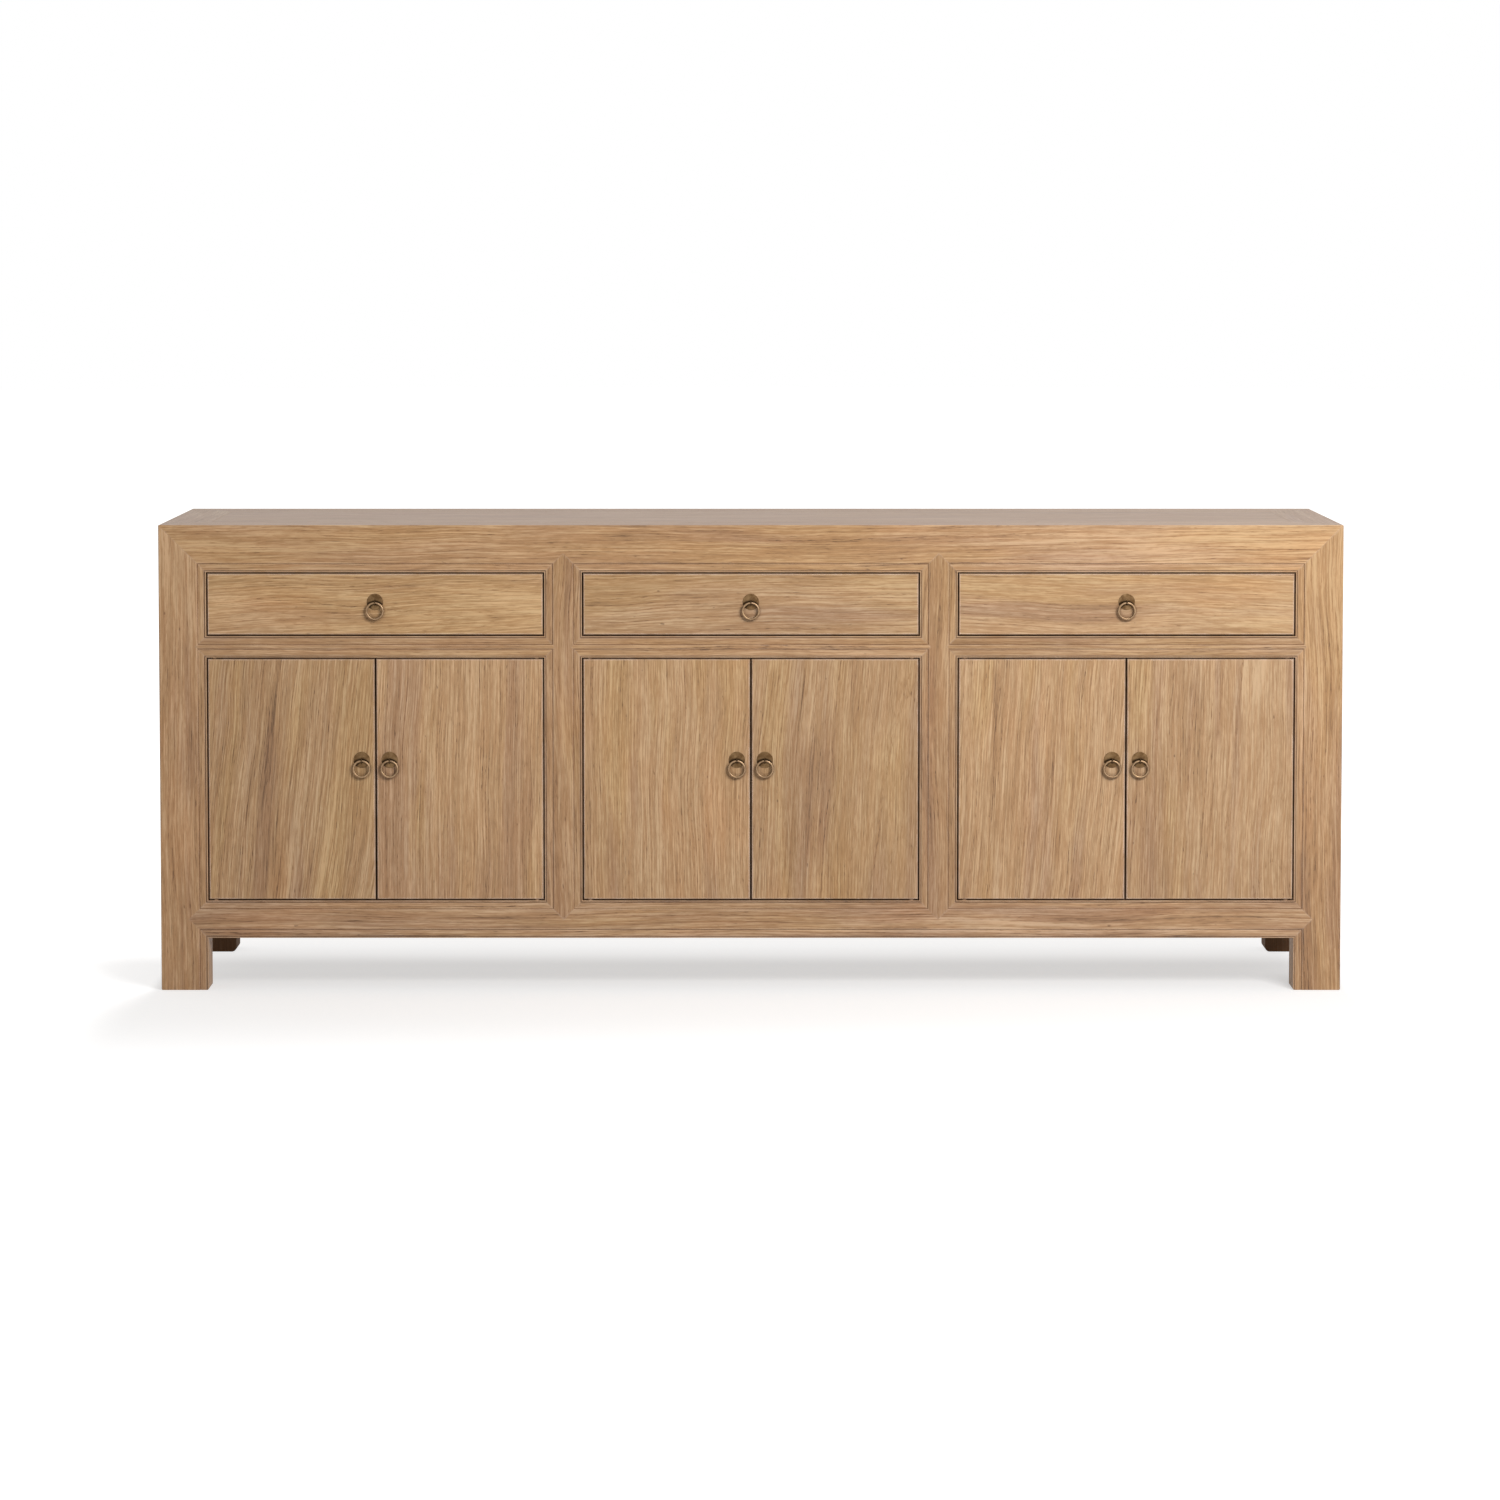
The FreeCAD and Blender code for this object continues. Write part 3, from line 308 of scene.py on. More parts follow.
LEAST_YEAR = 0.15                    # strength of the faintest year's line
LINE_PORES, OTHER_PORES = 1.3, 0.2   # pores added in a ring line, and found anywhere
GROUND_TONE = 0.66                   # near 0 is the ring line's colour, near 1 the limed fibre's
STREAK_TONE, BROAD_TONE = 2.5, 1.9   # what each layer adds or takes, times the figure
HAIR_TONE, FLECK_TONE = 1.35, 0.65   # the same, whatever the figure
PORE_TONE = 0.35                     # what a pore takes
MARK_STREAKS, MARK_TINT = 3.6, 0.55  # how far a placed mark follows the streaks, and turns mauve
HAIR_HEIGHT = 0.5                    # of the depth of a pore


def build_grain():
    """Growth rings round a tapering trunk, with fibres and open pores drawn out along the board."""
    tree, given, result = new_group("elm_grain", [
        ("Board", "Vector", None), ("Pith", "Vector", None), ("Lean", "Float", 0.0),
        ("Taper", "Float", 0.0), ("Ring Spacing", "Float", 0.004), ("Figure", "Float", 0.5),
        ("Tint", "Float", 0.0), ("Mark", "Float", 0.0), ("Seed", "Float", 0.0), ("Pale", "Color", WHITE),
        ("Body", "Color", WHITE), ("Dark", "Color", WHITE), ("Ochre", "Color", WHITE),
        ("Mauve", "Color", WHITE), ("Russet", "Color", WHITE)],
        [("Color", "Color"), ("Rough Mask", "Float"), ("Height", "Float")])
    seed = join(tree, *(calc(tree, "MULTIPLY", given["Seed"], waves) for waves in SEED_WAVES))

    def field(vector, name):
        waves, detail, roughness = FIELDS[name]
        return noise(tree, vector_calc(tree, "MULTIPLY_ADD", vector, waves, seed), 1.0, detail, roughness)

    # Place in the leaning trunk, and how far the face is cut square to its rings
    wander = calc(tree, "SUBTRACT", field(given["Board"], "wander"), 0.5)
    ripple = calc(tree, "SUBTRACT", field(given["Board"], "ripple"), 0.5)
    sway = calc(tree, "ADD", calc(tree, "MULTIPLY", wander, WANDER), calc(tree, "MULTIPLY", ripple, RIPPLE))
    aside, depth, along = split(tree, vector_calc(tree, "SUBTRACT", given["Board"], given["Pith"]))
    across = calc(tree, "SUBTRACT", calc(tree, "ADD", aside, sway),
                  calc(tree, "MULTIPLY", along, given["Lean"]))
    reach = length_of(tree, across, depth)
    square = remap(tree, calc(tree, "DIVIDE", calc(tree, "ABSOLUTE", across), reach), *GRAIN_SPANS["square"])
    figure = calc(tree, "MULTIPLY", given["Figure"], square)
    reach = calc(tree, "MULTIPLY_ADD", along, given["Taper"], reach)
    trunk = join(tree, reach, depth, along)
    board = join(tree, across, depth, along)

    # Ring lines, each year with its own strength
    drift = field(trunk, "drift")
    rings = calc(tree, "MULTIPLY_ADD", drift, RING_DRIFT, calc(tree, "DIVIDE", reach, given["Ring Spacing"]))
    share = calc(tree, "FRACT", rings)
    year = put(tree, "TexWhiteNoise", {"W": calc(tree, "FLOOR", rings)}, noise_dimensions="1D")
    year = calc(tree, "MULTIPLY_ADD", year.outputs["Value"], 1.0 - LEAST_YEAR, LEAST_YEAR)
    fading = remap(tree, field(trunk, "fading"), *GRAIN_SPANS["fading"])
    line = calc(tree, "MULTIPLY", calc(tree, "POWER", calc(tree, "SUBTRACT", 1.0, share), LINE_FADE),
                calc(tree, "MULTIPLY", year, fading))

    # Fibres and pores; most pores lie in the ring lines
    broad = field(trunk, "broad")
    streak = field(trunk, "streak")
    hair = field(board, "hair")
    fleck = field(board, "fleck")
    pores = calc(tree, "MULTIPLY", remap(tree, field(board, "pores"), *GRAIN_SPANS["pores"]),
                 calc(tree, "MULTIPLY_ADD", line, LINE_PORES, OTHER_PORES))

    # From dark to pale
    tone = GROUND_TONE
    for layer, weight in ((streak, calc(tree, "MULTIPLY", figure, STREAK_TONE)),
                          (broad, calc(tree, "MULTIPLY", figure, BROAD_TONE)),
                          (hair, HAIR_TONE), (fleck, FLECK_TONE)):
        tone = calc(tree, "MULTIPLY_ADD", calc(tree, "SUBTRACT", layer, 0.5), weight, tone)
    mark = calc(tree, "MULTIPLY", given["Mark"],
                calc(tree, "MULTIPLY_ADD", streak, MARK_STREAKS, 1.0 - 0.5 * MARK_STREAKS))
    for darker in (calc(tree, "MULTIPLY", line, figure), mark, calc(tree, "MULTIPLY", pores, PORE_TONE)):
        tone = calc(tree, "SUBTRACT", tone, darker)
    colour = mix_colour(tree, remap(tree, tone, *GRAIN_SPANS["body"]), given["Dark"], given["Body"])
    colour = mix_colour(tree, remap(tree, tone, *GRAIN_SPANS["pale"]), colour, given["Pale"])

    # Bands and patches of other hues, and a few dark pits
    tint = calc(tree, "MULTIPLY_ADD", given["Mark"], MARK_TINT, given["Tint"])
    for name, amount, hue in (("ochre", calc(tree, "SUBTRACT", field(trunk, "ochre"), tint), "Ochre"),
                              ("mauve", calc(tree, "ADD", field(board, "mauve"), tint), "Mauve"),
                              ("blush", field(board, "blush"), "Russet"),
                              ("russet", field(given["Board"], "russet"), "Russet")):
        colour = mix_colour(tree, remap(tree, amount, *GRAIN_SPANS[name]), colour, given[hue], "MULTIPLY")
    pits = remap(tree, field(board, "pits"), *GRAIN_SPANS["pits"])
    colour = mix_colour(tree, pits, colour, given["Dark"])

    tree.links.new(colour, result["Color"])
    tree.links.new(calc(tree, "SUBTRACT", 1.0, tone), result["Rough Mask"])
    tree.links.new(calc(tree, "SUBTRACT", calc(tree, "MULTIPLY", hair, HAIR_HEIGHT), pores), result["Height"])
    return tree


# Spans of a direction, a hollow, a turn of the surface, a height or a depth in metres,
# and what they are carried on to where that isn't 0 to 1
HANDLING_SPANS = {
    "upward": (0.75, 0.98),
    "patches": (0.34, 0.60, 0.35, 1.0),
    "open air": (0.62, 0.90),
    "arris": (0.0, 0.06),
    "sharp": (0.15, 0.24, 0.0, 0.2),
    "corner": (0.90, 0.50),
    "foot shade height": (0.22, 0.08),
    "outward": (0.0, 1.0, 1.0, 0.15),
    "gap wall": (0.90, 0.50),
    "gap depth": (0.018, 0.004, 0.75, 1.0),
}
PATCH_NOISE = (30.0, 4.0, 0.65)        # waves per metre, detail and roughness
HOLLOW_SAMPLES, ARRIS_SAMPLES = 6, 4


def build_handling_and_shade():
    """Painted sheen on upper faces, rubbed arrises partly painted as highlights, old wax and painted shade in
    the corners, painted shade at the back feet and in the gaps, and a ring's painted shadow.
    """
    tree, given, result = new_group("handling_and_shade", [
        ("Color", "Color", WHITE), ("Vector", "Vector", None), ("Worn Highlight", "Color", WHITE),
        ("Grime And Shade", "Color", WHITE), ("Sheen Grey", "Color", WHITE), ("Wear Highlight", "Float", 0.5),
        ("Corner Wax And Shade", "Float", 0.5), ("Sheen Amount", "Float", 0.0), ("Wear Highlight Width", "Float", 0.002),
        ("Hollow Reach", "Float", 0.006), ("Gap Shade Amount", "Float", 0.0), ("Foot Shade", "Float", 0.0),
        ("Ring Shadow", "Float", 0.0), ("Seam", "Color", WHITE)], [("Color", "Color"), ("Wax And Shade Mask", "Float")])
    facing = object_facing(tree)
    place = split(tree, given["Vector"])
    # Painted sheen on faces that look up
    painted_sheen = calc(tree, "MULTIPLY", remap(tree, facing[2], *HANDLING_SPANS["upward"]), given["Sheen Amount"])
    base = mix_colour(tree, painted_sheen, given["Color"], given["Sheen Grey"])

    # Arrises are rubbed pale in patches, partly as a painted highlight, but not in a corner
    hollow = put(tree, "AmbientOcclusion", {"Distance": given["Hollow Reach"]}, samples=HOLLOW_SAMPLES,
                 only_local=True).outputs["AO"]
    rounded = put(tree, "Bevel", {"Radius": given["Wear Highlight Width"]}, samples=ARRIS_SAMPLES).outputs[0]
    flat = put(tree, "NewGeometry").outputs["Normal"]
    turn = calc(tree, "SUBTRACT", 1.0, agreement(tree, rounded, flat))
    patchy = remap(tree, noise(tree, given["Vector"], *PATCH_NOISE), *HANDLING_SPANS["patches"])
    open_air = remap(tree, hollow, *HANDLING_SPANS["open air"])
    edge = calc(tree, "MULTIPLY", remap(tree, turn, *HANDLING_SPANS["arris"]),
                calc(tree, "MULTIPLY", patchy, open_air))
    colour = mix_colour(tree, calc(tree, "MULTIPLY", edge, given["Wear Highlight"]), base, given["Worn Highlight"])

    # Wax and painted shade in the corners, painted shade at the feet on faces that look inwards or forward,
    # and a ring's painted shadow
    corner = calc(tree, "MAXIMUM", remap(tree, hollow, *HANDLING_SPANS["corner"]),
                  remap(tree, turn, *HANDLING_SPANS["sharp"]))
    corner = calc(tree, "MULTIPLY", corner, given["Corner Wax And Shade"])
    painted_foot_shade = calc(tree, "MULTIPLY", remap(tree, place[2], *HANDLING_SPANS["foot shade height"]), given["Foot Shade"])
    outward = calc(tree, "MULTIPLY", facing[0], calc(tree, "SIGN", place[0]))
    outward = calc(tree, "MAXIMUM", outward, facing[1])
    painted_foot_shade = calc(tree, "MULTIPLY", painted_foot_shade, remap(tree, outward, *HANDLING_SPANS["outward"]))
    wax_and_shade = calc(tree, "MAXIMUM", corner, calc(tree, "MAXIMUM", painted_foot_shade, given["Ring Shadow"]))
    colour = mix_colour(tree, wax_and_shade, colour, given["Grime And Shade"])

    # Painted shade on the walls of the gaps round doors and drawers
    wall = remap(tree, calc(tree, "ABSOLUTE", facing[1]), *HANDLING_SPANS["gap wall"])
    inward = remap(tree, calc(tree, "SUBTRACT", place[1], FACE_Y), *HANDLING_SPANS["gap depth"])
    wall = calc(tree, "MULTIPLY", calc(tree, "MULTIPLY", wall, given["Gap Shade Amount"]), inward)
    colour = mix_colour(tree, wall, colour, given["Seam"])
    tree.links.new(colour, result["Color"])
    tree.links.new(calc(tree, "MAXIMUM", wax_and_shade, wall), result["Wax And Shade Mask"])
    return tree


# Axes across the face, into the board and along the grain
GRAIN_AXES = {
    "x": ("z", "y", "x"),
    "y": ("x", "z", "y"),
    "z": ("x", "y", "z"),
    "x flat": ("y", "z", "x"),
    "z side": ("y", "x", "z"),
}
AXIS_INDEX = {"x": 0, "y": 1, "z": 2}

# What a look can say of a board, and what holds where it says nothing
PLAIN_LOOK = {
    "pith": (3.0, 0.6),       # middle of the trunk: board widths aside, and metres behind the board's middle
    "lean": 0.0,              # slope of the grain across the face
    "taper": 0.0,             # slope of the rings along the trunk
    "figure": 0.30,           # contrast of the rings and streaks
    "tint": 0.0,              # towards mauve, or below 0 towards ochre
    "shade": 1.0,             # lighter or darker than the finish
    "cast": (1.0, 1.0, 1.0),  # multiplied over the finish
    "marks": (),              # streaks: shares across and along, half width and length in metres, darkness
    "wear_highlight": 0.25,             # pale rubbed arrises, partly a painted highlight
    "wax_and_shade": 0.8,              # wax and painted shade in the corners
    "edge": 0.0,              # painted shade on the walls of a gap
    "sheen": 0.0,            # painted sheen on upper faces
    "foot_shade": 0.0,             # painted shade on the back feet, darker towards the floor
    "ring": None,             # joint of a ring that hangs in front, whose painted shadow falls on the board
    "step": 0.0,              # spacing of the copies in one node, which get their own seeds
    "turn": None,             # axis, middle and half width of the main boards, and how the grain runs beyond
}
FIRST_SEED, SEED_STEP, COPY_SEED_STEP = 1.0, 0.61, 1.73
TINT_HEIGHT = 0.5             # height where the fall of the tint changes nothing
MARK_FULL_SHARE = 0.3         # share of a streak's half length where it is at its full strength
# Roughness that the grain spreads, where it starts below the set one, and what the wax and painted shade add
WOOD_ROUGH_SPREAD, WOOD_ROUGH_DROP, WAX_SHADE_ROUGH = 0.16, 0.06, 0.35
WOOD_BUMP, WOOD_BUMP_DEPTH = 0.35, 0.0004
WAX_SPECULAR = 0.42

# Painted shadow of a ring that hangs: shift to the right and up, size against the ring, half width, darkness
RING_SHADOWS = ((-0.0012, 1.22, 0.0040, 0.33), (0.0008, 0.78, 0.0030, 0.30))


def shaded(colour, shade, cast=(1.0, 1.0, 1.0)):
    """The same colour, lighter or darker, with a cast."""
    return (*(shade * part * tone for part, tone in zip(colour[:3], cast)), 1.0)


def board_vector(tree, place, order):
    """Board coordinates: across the face, into it, and along the grain."""
    return join(tree, *(place[AXIS_INDEX[axis]] for axis in order))


def place_marks(tree, board, low, size, marks):
    """Dark and pale streaks at given shares of the board's width and length."""
    if not marks:
        return 0.0
    total = 0.0
    place = split(tree, board)
    for across, along, half_width, half_length, amount in marks:
        up = calc(tree, "ABSOLUTE", calc(tree, "SUBTRACT", place[2], low[2] + along * size[2]))
        aside = calc(tree, "ABSOLUTE", calc(tree, "SUBTRACT", place[0], low[0] + across * size[0]))
        fade = remap(tree, up, half_length, MARK_FULL_SHARE * half_length)
        streak = calc(tree, "MULTIPLY", remap(tree, aside, half_width, 0.0, 0.0, amount), fade)
        total = calc(tree, "ADD", streak, total)
    return total


def ring_shadow(tree, place, ring):
    """Painted shadow of a hanging ring on what lies behind it, outside its wire and inside it."""
    if ring is None:
        return 0.0
    radius = bpy.context.scene.brass_finish.ring_radius
    centre = JOINT_AT[ring] - Vector((0.0, 0.0, radius))
    total = 0.0
    for shift, size, half_width, amount in RING_SHADOWS:
        across = calc(tree, "SUBTRACT", place[0], centre.x + shift)
        up = calc(tree, "SUBTRACT", place[2], centre.z + shift)
        apart = calc(tree, "ABSOLUTE", calc(tree, "SUBTRACT", length_of(tree, across, up), radius * size))
        total = calc(tree, "MAXIMUM", remap(tree, apart, half_width, 0.0, 0.0, amount), total)
    return total


def wood_material(node, colours, look, seed):
    """One board's wood, with its own pith, lean and seed."""
    look = {**PLAIN_LOOK, **look}
    settings = bpy.context.scene.elm_finish
    material, tree = new_material(node + "_elm")
    position = object_place(tree)
    place = split(tree, position)
    order = GRAIN_AXES[look["along"]]
    board = board_vector(tree, place, order)

    # Low corner, size and pith of the board, in its own coordinates
    axes = [AXIS_INDEX[axis] for axis in order]
    low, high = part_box(node)
    corner, size = ([vector[axis] for axis in axes] for vector in (low, high - low))
    middle = [((low + high) / 2)[axis] for axis in axes]
    aside, behind = look["pith"]
    pith = (middle[0] + aside * size[0], middle[1] + behind, middle[2])

    if look["turn"]:
        axis, centre, half_width, turned = look["turn"]
        apart = calc(tree, "ABSOLUTE", calc(tree, "SUBTRACT", place[AXIS_INDEX[axis]], centre))
        board = put(tree, "Mix", {0: calc(tree, "GREATER_THAN", apart, half_width), 4: board,
                                  5: board_vector(tree, place, GRAIN_AXES[turned])},
                    data_type="VECTOR").outputs[1]
    if look["step"]:
        count = calc(tree, "ROUND", calc(tree, "DIVIDE", place[0], look["step"]))
        seed = calc(tree, "MULTIPLY_ADD", count, COPY_SEED_STEP, seed)
    tint = calc(tree, "MULTIPLY_ADD", place[2], -settings.tint_fall,
                look["tint"] + TINT_HEIGHT * settings.tint_fall)
    pale, body, dark = (shaded(colour, look["shade"], look["cast"])
                        for colour in (colours.pale, colours.body, colours.dark))
    grain = use_group(tree, "elm_grain", build_grain, {
        "Board": board, "Pith": pith, "Lean": look["lean"], "Taper": look["taper"],
        "Ring Spacing": settings.ring_spacing, "Figure": look["figure"], "Tint": tint,
        "Mark": place_marks(tree, board, corner, size, look["marks"]), "Seed": seed, "Pale": pale,
        "Body": body, "Dark": dark, "Ochre": settings.ochre, "Mauve": settings.mauve,
        "Russet": settings.russet})
    # Pale arrises partly painted as highlights, wax and painted shade, painted sheen and a ring's painted
    # shadow
    finish = use_group(tree, "handling_and_shade", build_handling_and_shade, {
        "Color": grain["Color"], "Vector": position, "Worn Highlight": settings.worn_highlight, "Grime And Shade": settings.grime_and_shade,
        "Seam": settings.seam, "Sheen Grey": settings.sheen_grey, "Wear Highlight": look["wear_highlight"], "Corner Wax And Shade": look["wax_and_shade"],
        "Sheen Amount": look["sheen"], "Gap Shade Amount": look["edge"], "Foot Shade": look["foot_shade"],
        "Ring Shadow": ring_shadow(tree, place, look["ring"]), "Wear Highlight Width": settings.wear_highlight_width,
        "Hollow Reach": settings.groove_width})
    rough = calc(tree, "MULTIPLY_ADD", grain["Rough Mask"], WOOD_ROUGH_SPREAD,
                 settings.roughness - WOOD_ROUGH_DROP)
    rough = calc(tree, "MULTIPLY_ADD", finish["Wax And Shade Mask"], WAX_SHADE_ROUGH, rough)
    shader = finish_surface(tree, finish["Color"], rough, grain["Height"], WOOD_BUMP, WOOD_BUMP_DEPTH)
    shader.inputs["Specular IOR Level"].default_value = WAX_SPECULAR
    return material


def dress_boards(looks, colours):
    """Give each named node its own wood."""
    for number, (node, look) in enumerate(looks.items()):
        material = wood_material(node, colours, look, FIRST_SEED + SEED_STEP * number)
        for slot in NODES[node].material_slots:
            slot.material = material


# Meshes for the pulls

def mesh_object(name, build):
    mesh = bpy.data.meshes.new(name)
    shape = bmesh.new()
    build(shape)
    bmesh.ops.recalc_face_normals(shape, faces=shape.faces)
    for face in shape.faces:
        face.smooth = True
    shape.to_mesh(mesh)
    shape.free()
    piece = bpy.data.objects.new(name, mesh)
    bpy.context.scene.collection.objects.link(piece)
    return piece


def skin_loops(shape, loops, closed=False):
    """Faces between neighbouring loops of points; an open row of loops gets a cap at each end."""
    rows = [[shape.verts.new(point) for point in loop] for loop in loops]
    pairs = list(zip(rows, rows[1:])) + ([(rows[-1], rows[0])] if closed else [])
    for near, far in pairs:
        for i in range(len(near)):
            shape.faces.new((near[i - 1], near[i], far[i], far[i - 1]))
    if not closed:
        shape.faces.new(rows[0])
        shape.faces.new(rows[-1])


def lathe(shape, profile, centre, steps=48):
    """Turn (radius, forward) points round an axis that points to the front."""
    loops = []
    for radius, forward in profile:
        loops.append([centre + Vector((radius * math.cos(math.tau * i / steps), -forward,
                                       radius * math.sin(math.tau * i / steps))) for i in range(steps)])
    skin_loops(shape, loops)


def wire_ring(shape, centre, axis, radius, wire, steps, sides, thinning=0.0):
    """A ring of round wire round an axis; thinning takes wire off towards its highest part."""
    turn = Vector((0.0, 0.0, 1.0)).rotation_difference(axis).to_matrix()
    loops = []
    for i in range(steps):
        angle = math.tau * i / steps
        out = turn @ Vector((math.cos(angle), math.sin(angle), 0.0))
        thick = wire * (1.0 - thinning * (0.5 + 0.5 * out.z))
        loops.append([centre + out * (radius + thick * math.cos(math.tau * k / sides))
                      + axis * (thick * math.sin(math.tau * k / sides)) for k in range(sides)])
    skin_loops(shape, loops, closed=True)


def wire_run(shape, points, half_width, flatness, sides=10):
    """A bent strip of flattened wire through a list of points."""
    sideways = Vector((1.0, 0.0, 0.0))
    loops = []
    for i, point in enumerate(points):
        before, after = points[max(i - 1, 0)], points[min(i + 1, len(points) - 1)]
        up = (after - before).normalized().cross(sideways).normalized()
        loops.append([point + sideways * (half_width * math.cos(math.tau * k / sides))
                      + up * (half_width * flatness * math.sin(math.tau * k / sides)) for k in range(sides)])
    skin_loops(shape, loops)


# Plate from the back of its rim to its middle, in shares of its radius and of its thickness
PLATE_SHARES = ((0.985, 0.0), (1.0, 0.2), (1.0, 0.42), (0.985, 0.6), (0.955, 0.66), (0.93, 0.60),
                (0.90, 0.62), (0.70, 0.80), (0.42, 0.93), (0.16, 1.0))
RING_THINNING = 0.10

# Split pin, in metres
LEG_HALF_WIDTH = 0.0015
LEG_FLATNESS = 0.4          # its thickness against its width
LEG_OFFSET = 0.0009         # middle of each leg from the middle of the pin
# Each bend of a leg: clinch thicknesses before its end, and metres away from the pin's middle
LEG_BENDS = ((1.2, LEG_OFFSET), (0.35, 0.0013), (0.0, 0.0026))


def build_plate(shape, eye, back, brass):
    """The round plate, with the pin's eye in front and its two legs turned over behind the board."""
    plate_centre = Vector((eye.x, FACE_Y, eye.z + brass.plate_raise))
    profile = [(brass.plate_radius * out, brass.plate_thickness * forward) for out, forward in PLATE_SHARES]
    lathe(shape, profile, plate_centre)
    wire_ring(shape, eye, Vector((1.0, 0.0, 0.0)), brass.eye_radius, brass.eye_wire, steps=36, sides=12)
    end_y = back - CLINCH_THICKNESS / 2
    for side in (1.0, -1.0):
        points = [Vector((eye.x, eye.y + brass.eye_radius, eye.z + side * LEG_OFFSET))]
        for before, out in LEG_BENDS:
            points.append(Vector((eye.x, end_y - CLINCH_THICKNESS * before, eye.z + side * out)))
        points.append(Vector((eye.x, end_y, eye.z + side * brass.leg_length)))
        wire_run(shape, points, LEG_HALF_WIDTH, LEG_FLATNESS)


def build_ring(shape, eye, brass):
    """The ring, hanging from its eye, with its wire worn thinner at the top."""
    centre = eye - Vector((0.0, 0.0, brass.ring_radius))
    wire_ring(shape, centre, Vector((0.0, -1.0, 0.0)), brass.ring_radius, brass.ring_wire,
              steps=72, sides=16, thinning=RING_THINNING)


# Brass

SPOT_NOISE, SKIN_NOISE = (260.0, 5.0, 0.65), (90.0, 3.0, 0.6)    # waves per metre, detail, roughness
# Spans of noise, pointedness or direction, and what they are carried on to where that isn't 0 to 1
BRASS_SPANS = {
    "skin": (0.30, 0.74),
    "proud": (0.50, 0.56),
    "spots": (0.35, 0.60, 0.35, 1.0),
    "flank_patina_shade": (0.75, 0.25),
}
BRASS_ROUGH_SPREAD, BRASS_ROUGH_DROP = 0.3, 0.12
BRASS_BUMP, BRASS_BUMP_DEPTH = 0.3, 0.0003
FLANK_SHADE, RING_SHADOW_SHADE = 0.25, 0.12            # of the patina: the painted shade of the flanks, and the ring's painted shadow
RING_SHADOW_GAIN, RING_SHADOW_LIMIT = 2.7, 0.92               # a ring's painted shadow is darker on its plate than on wood
PLATE_LOOK = {"rub": 0.1, "shade": 0.85, "flank_patina_shade": 0.3}
RING_LOOK = {"rub": 0.6, "shade": 0.95, "flank_patina_shade": 0.95}


def build_brass_age():
    """Patina in the hollows and rubbed metal on what stands proud."""
    tree, given, result = new_group("brass_age", [
        ("Vector", "Vector", None), ("Patina", "Color", WHITE), ("Brass", "Color", WHITE),
        ("Rubbed", "Color", WHITE), ("Rub", "Float", 0.5)],
        [("Color", "Color"), ("Rough Mask", "Float"), ("Height", "Float")])
    spots = noise(tree, given["Vector"], *SPOT_NOISE)
    skin = remap(tree, noise(tree, given["Vector"], *SKIN_NOISE), *BRASS_SPANS["skin"])
    colour = mix_colour(tree, skin, given["Patina"], given["Brass"])
    point = put(tree, "NewGeometry").outputs["Pointiness"]
    proud = calc(tree, "MULTIPLY", remap(tree, point, *BRASS_SPANS["proud"]), given["Rub"])
    proud = calc(tree, "MULTIPLY", proud, remap(tree, spots, *BRASS_SPANS["spots"]))
    colour = mix_colour(tree, proud, colour, given["Rubbed"])
    tree.links.new(colour, result["Color"])
    tree.links.new(calc(tree, "MULTIPLY", spots, calc(tree, "SUBTRACT", 1.0, proud)), result["Rough Mask"])
    tree.links.new(spots, result["Height"])
    return tree


def brass_material(name, rub, shade, flank_patina_shade, ring=None):
    """Old brass, with painted shade, partly patina, on faces that look up, down or aside, and a painted
    shadow behind a ring where one hangs.
    """
    settings = bpy.context.scene.brass_finish
    material, tree = new_material(name)
    position = object_place(tree)
    age = use_group(tree, "brass_age", build_brass_age, {
        "Vector": position, "Patina": shaded(settings.patina, shade), "Brass": shaded(settings.brass, shade),
        "Rubbed": settings.rubbed, "Rub": rub})
    # Painted shade on the flanks, partly patina
    side = remap(tree, calc(tree, "ABSOLUTE", object_facing(tree)[1]), *BRASS_SPANS["flank_patina_shade"], 0.0, flank_patina_shade)
    colour = mix_colour(tree, side, age["Color"], shaded(settings.patina, FLANK_SHADE))
    # The ring's painted shadow on the plate
    plate_ring_shadow = calc(tree, "MULTIPLY", ring_shadow(tree, split(tree, position), ring), RING_SHADOW_GAIN)
    colour = mix_colour(tree, calc(tree, "MINIMUM", plate_ring_shadow, RING_SHADOW_LIMIT), colour,
                        shaded(settings.patina, RING_SHADOW_SHADE))
    rough = calc(tree, "MULTIPLY_ADD", age["Rough Mask"], BRASS_ROUGH_SPREAD,
                 settings.roughness - BRASS_ROUGH_DROP)
    shader = finish_surface(tree, colour, rough, age["Height"], BRASS_BUMP, BRASS_BUMP_DEPTH)
    shader.inputs["Metallic"].default_value = 1.0
    return material


def finish_brass(piece, material, body, *replaced):
    piece.data.materials.append(material)
    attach(piece, body)
    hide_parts(*replaced)


# What each board looks like

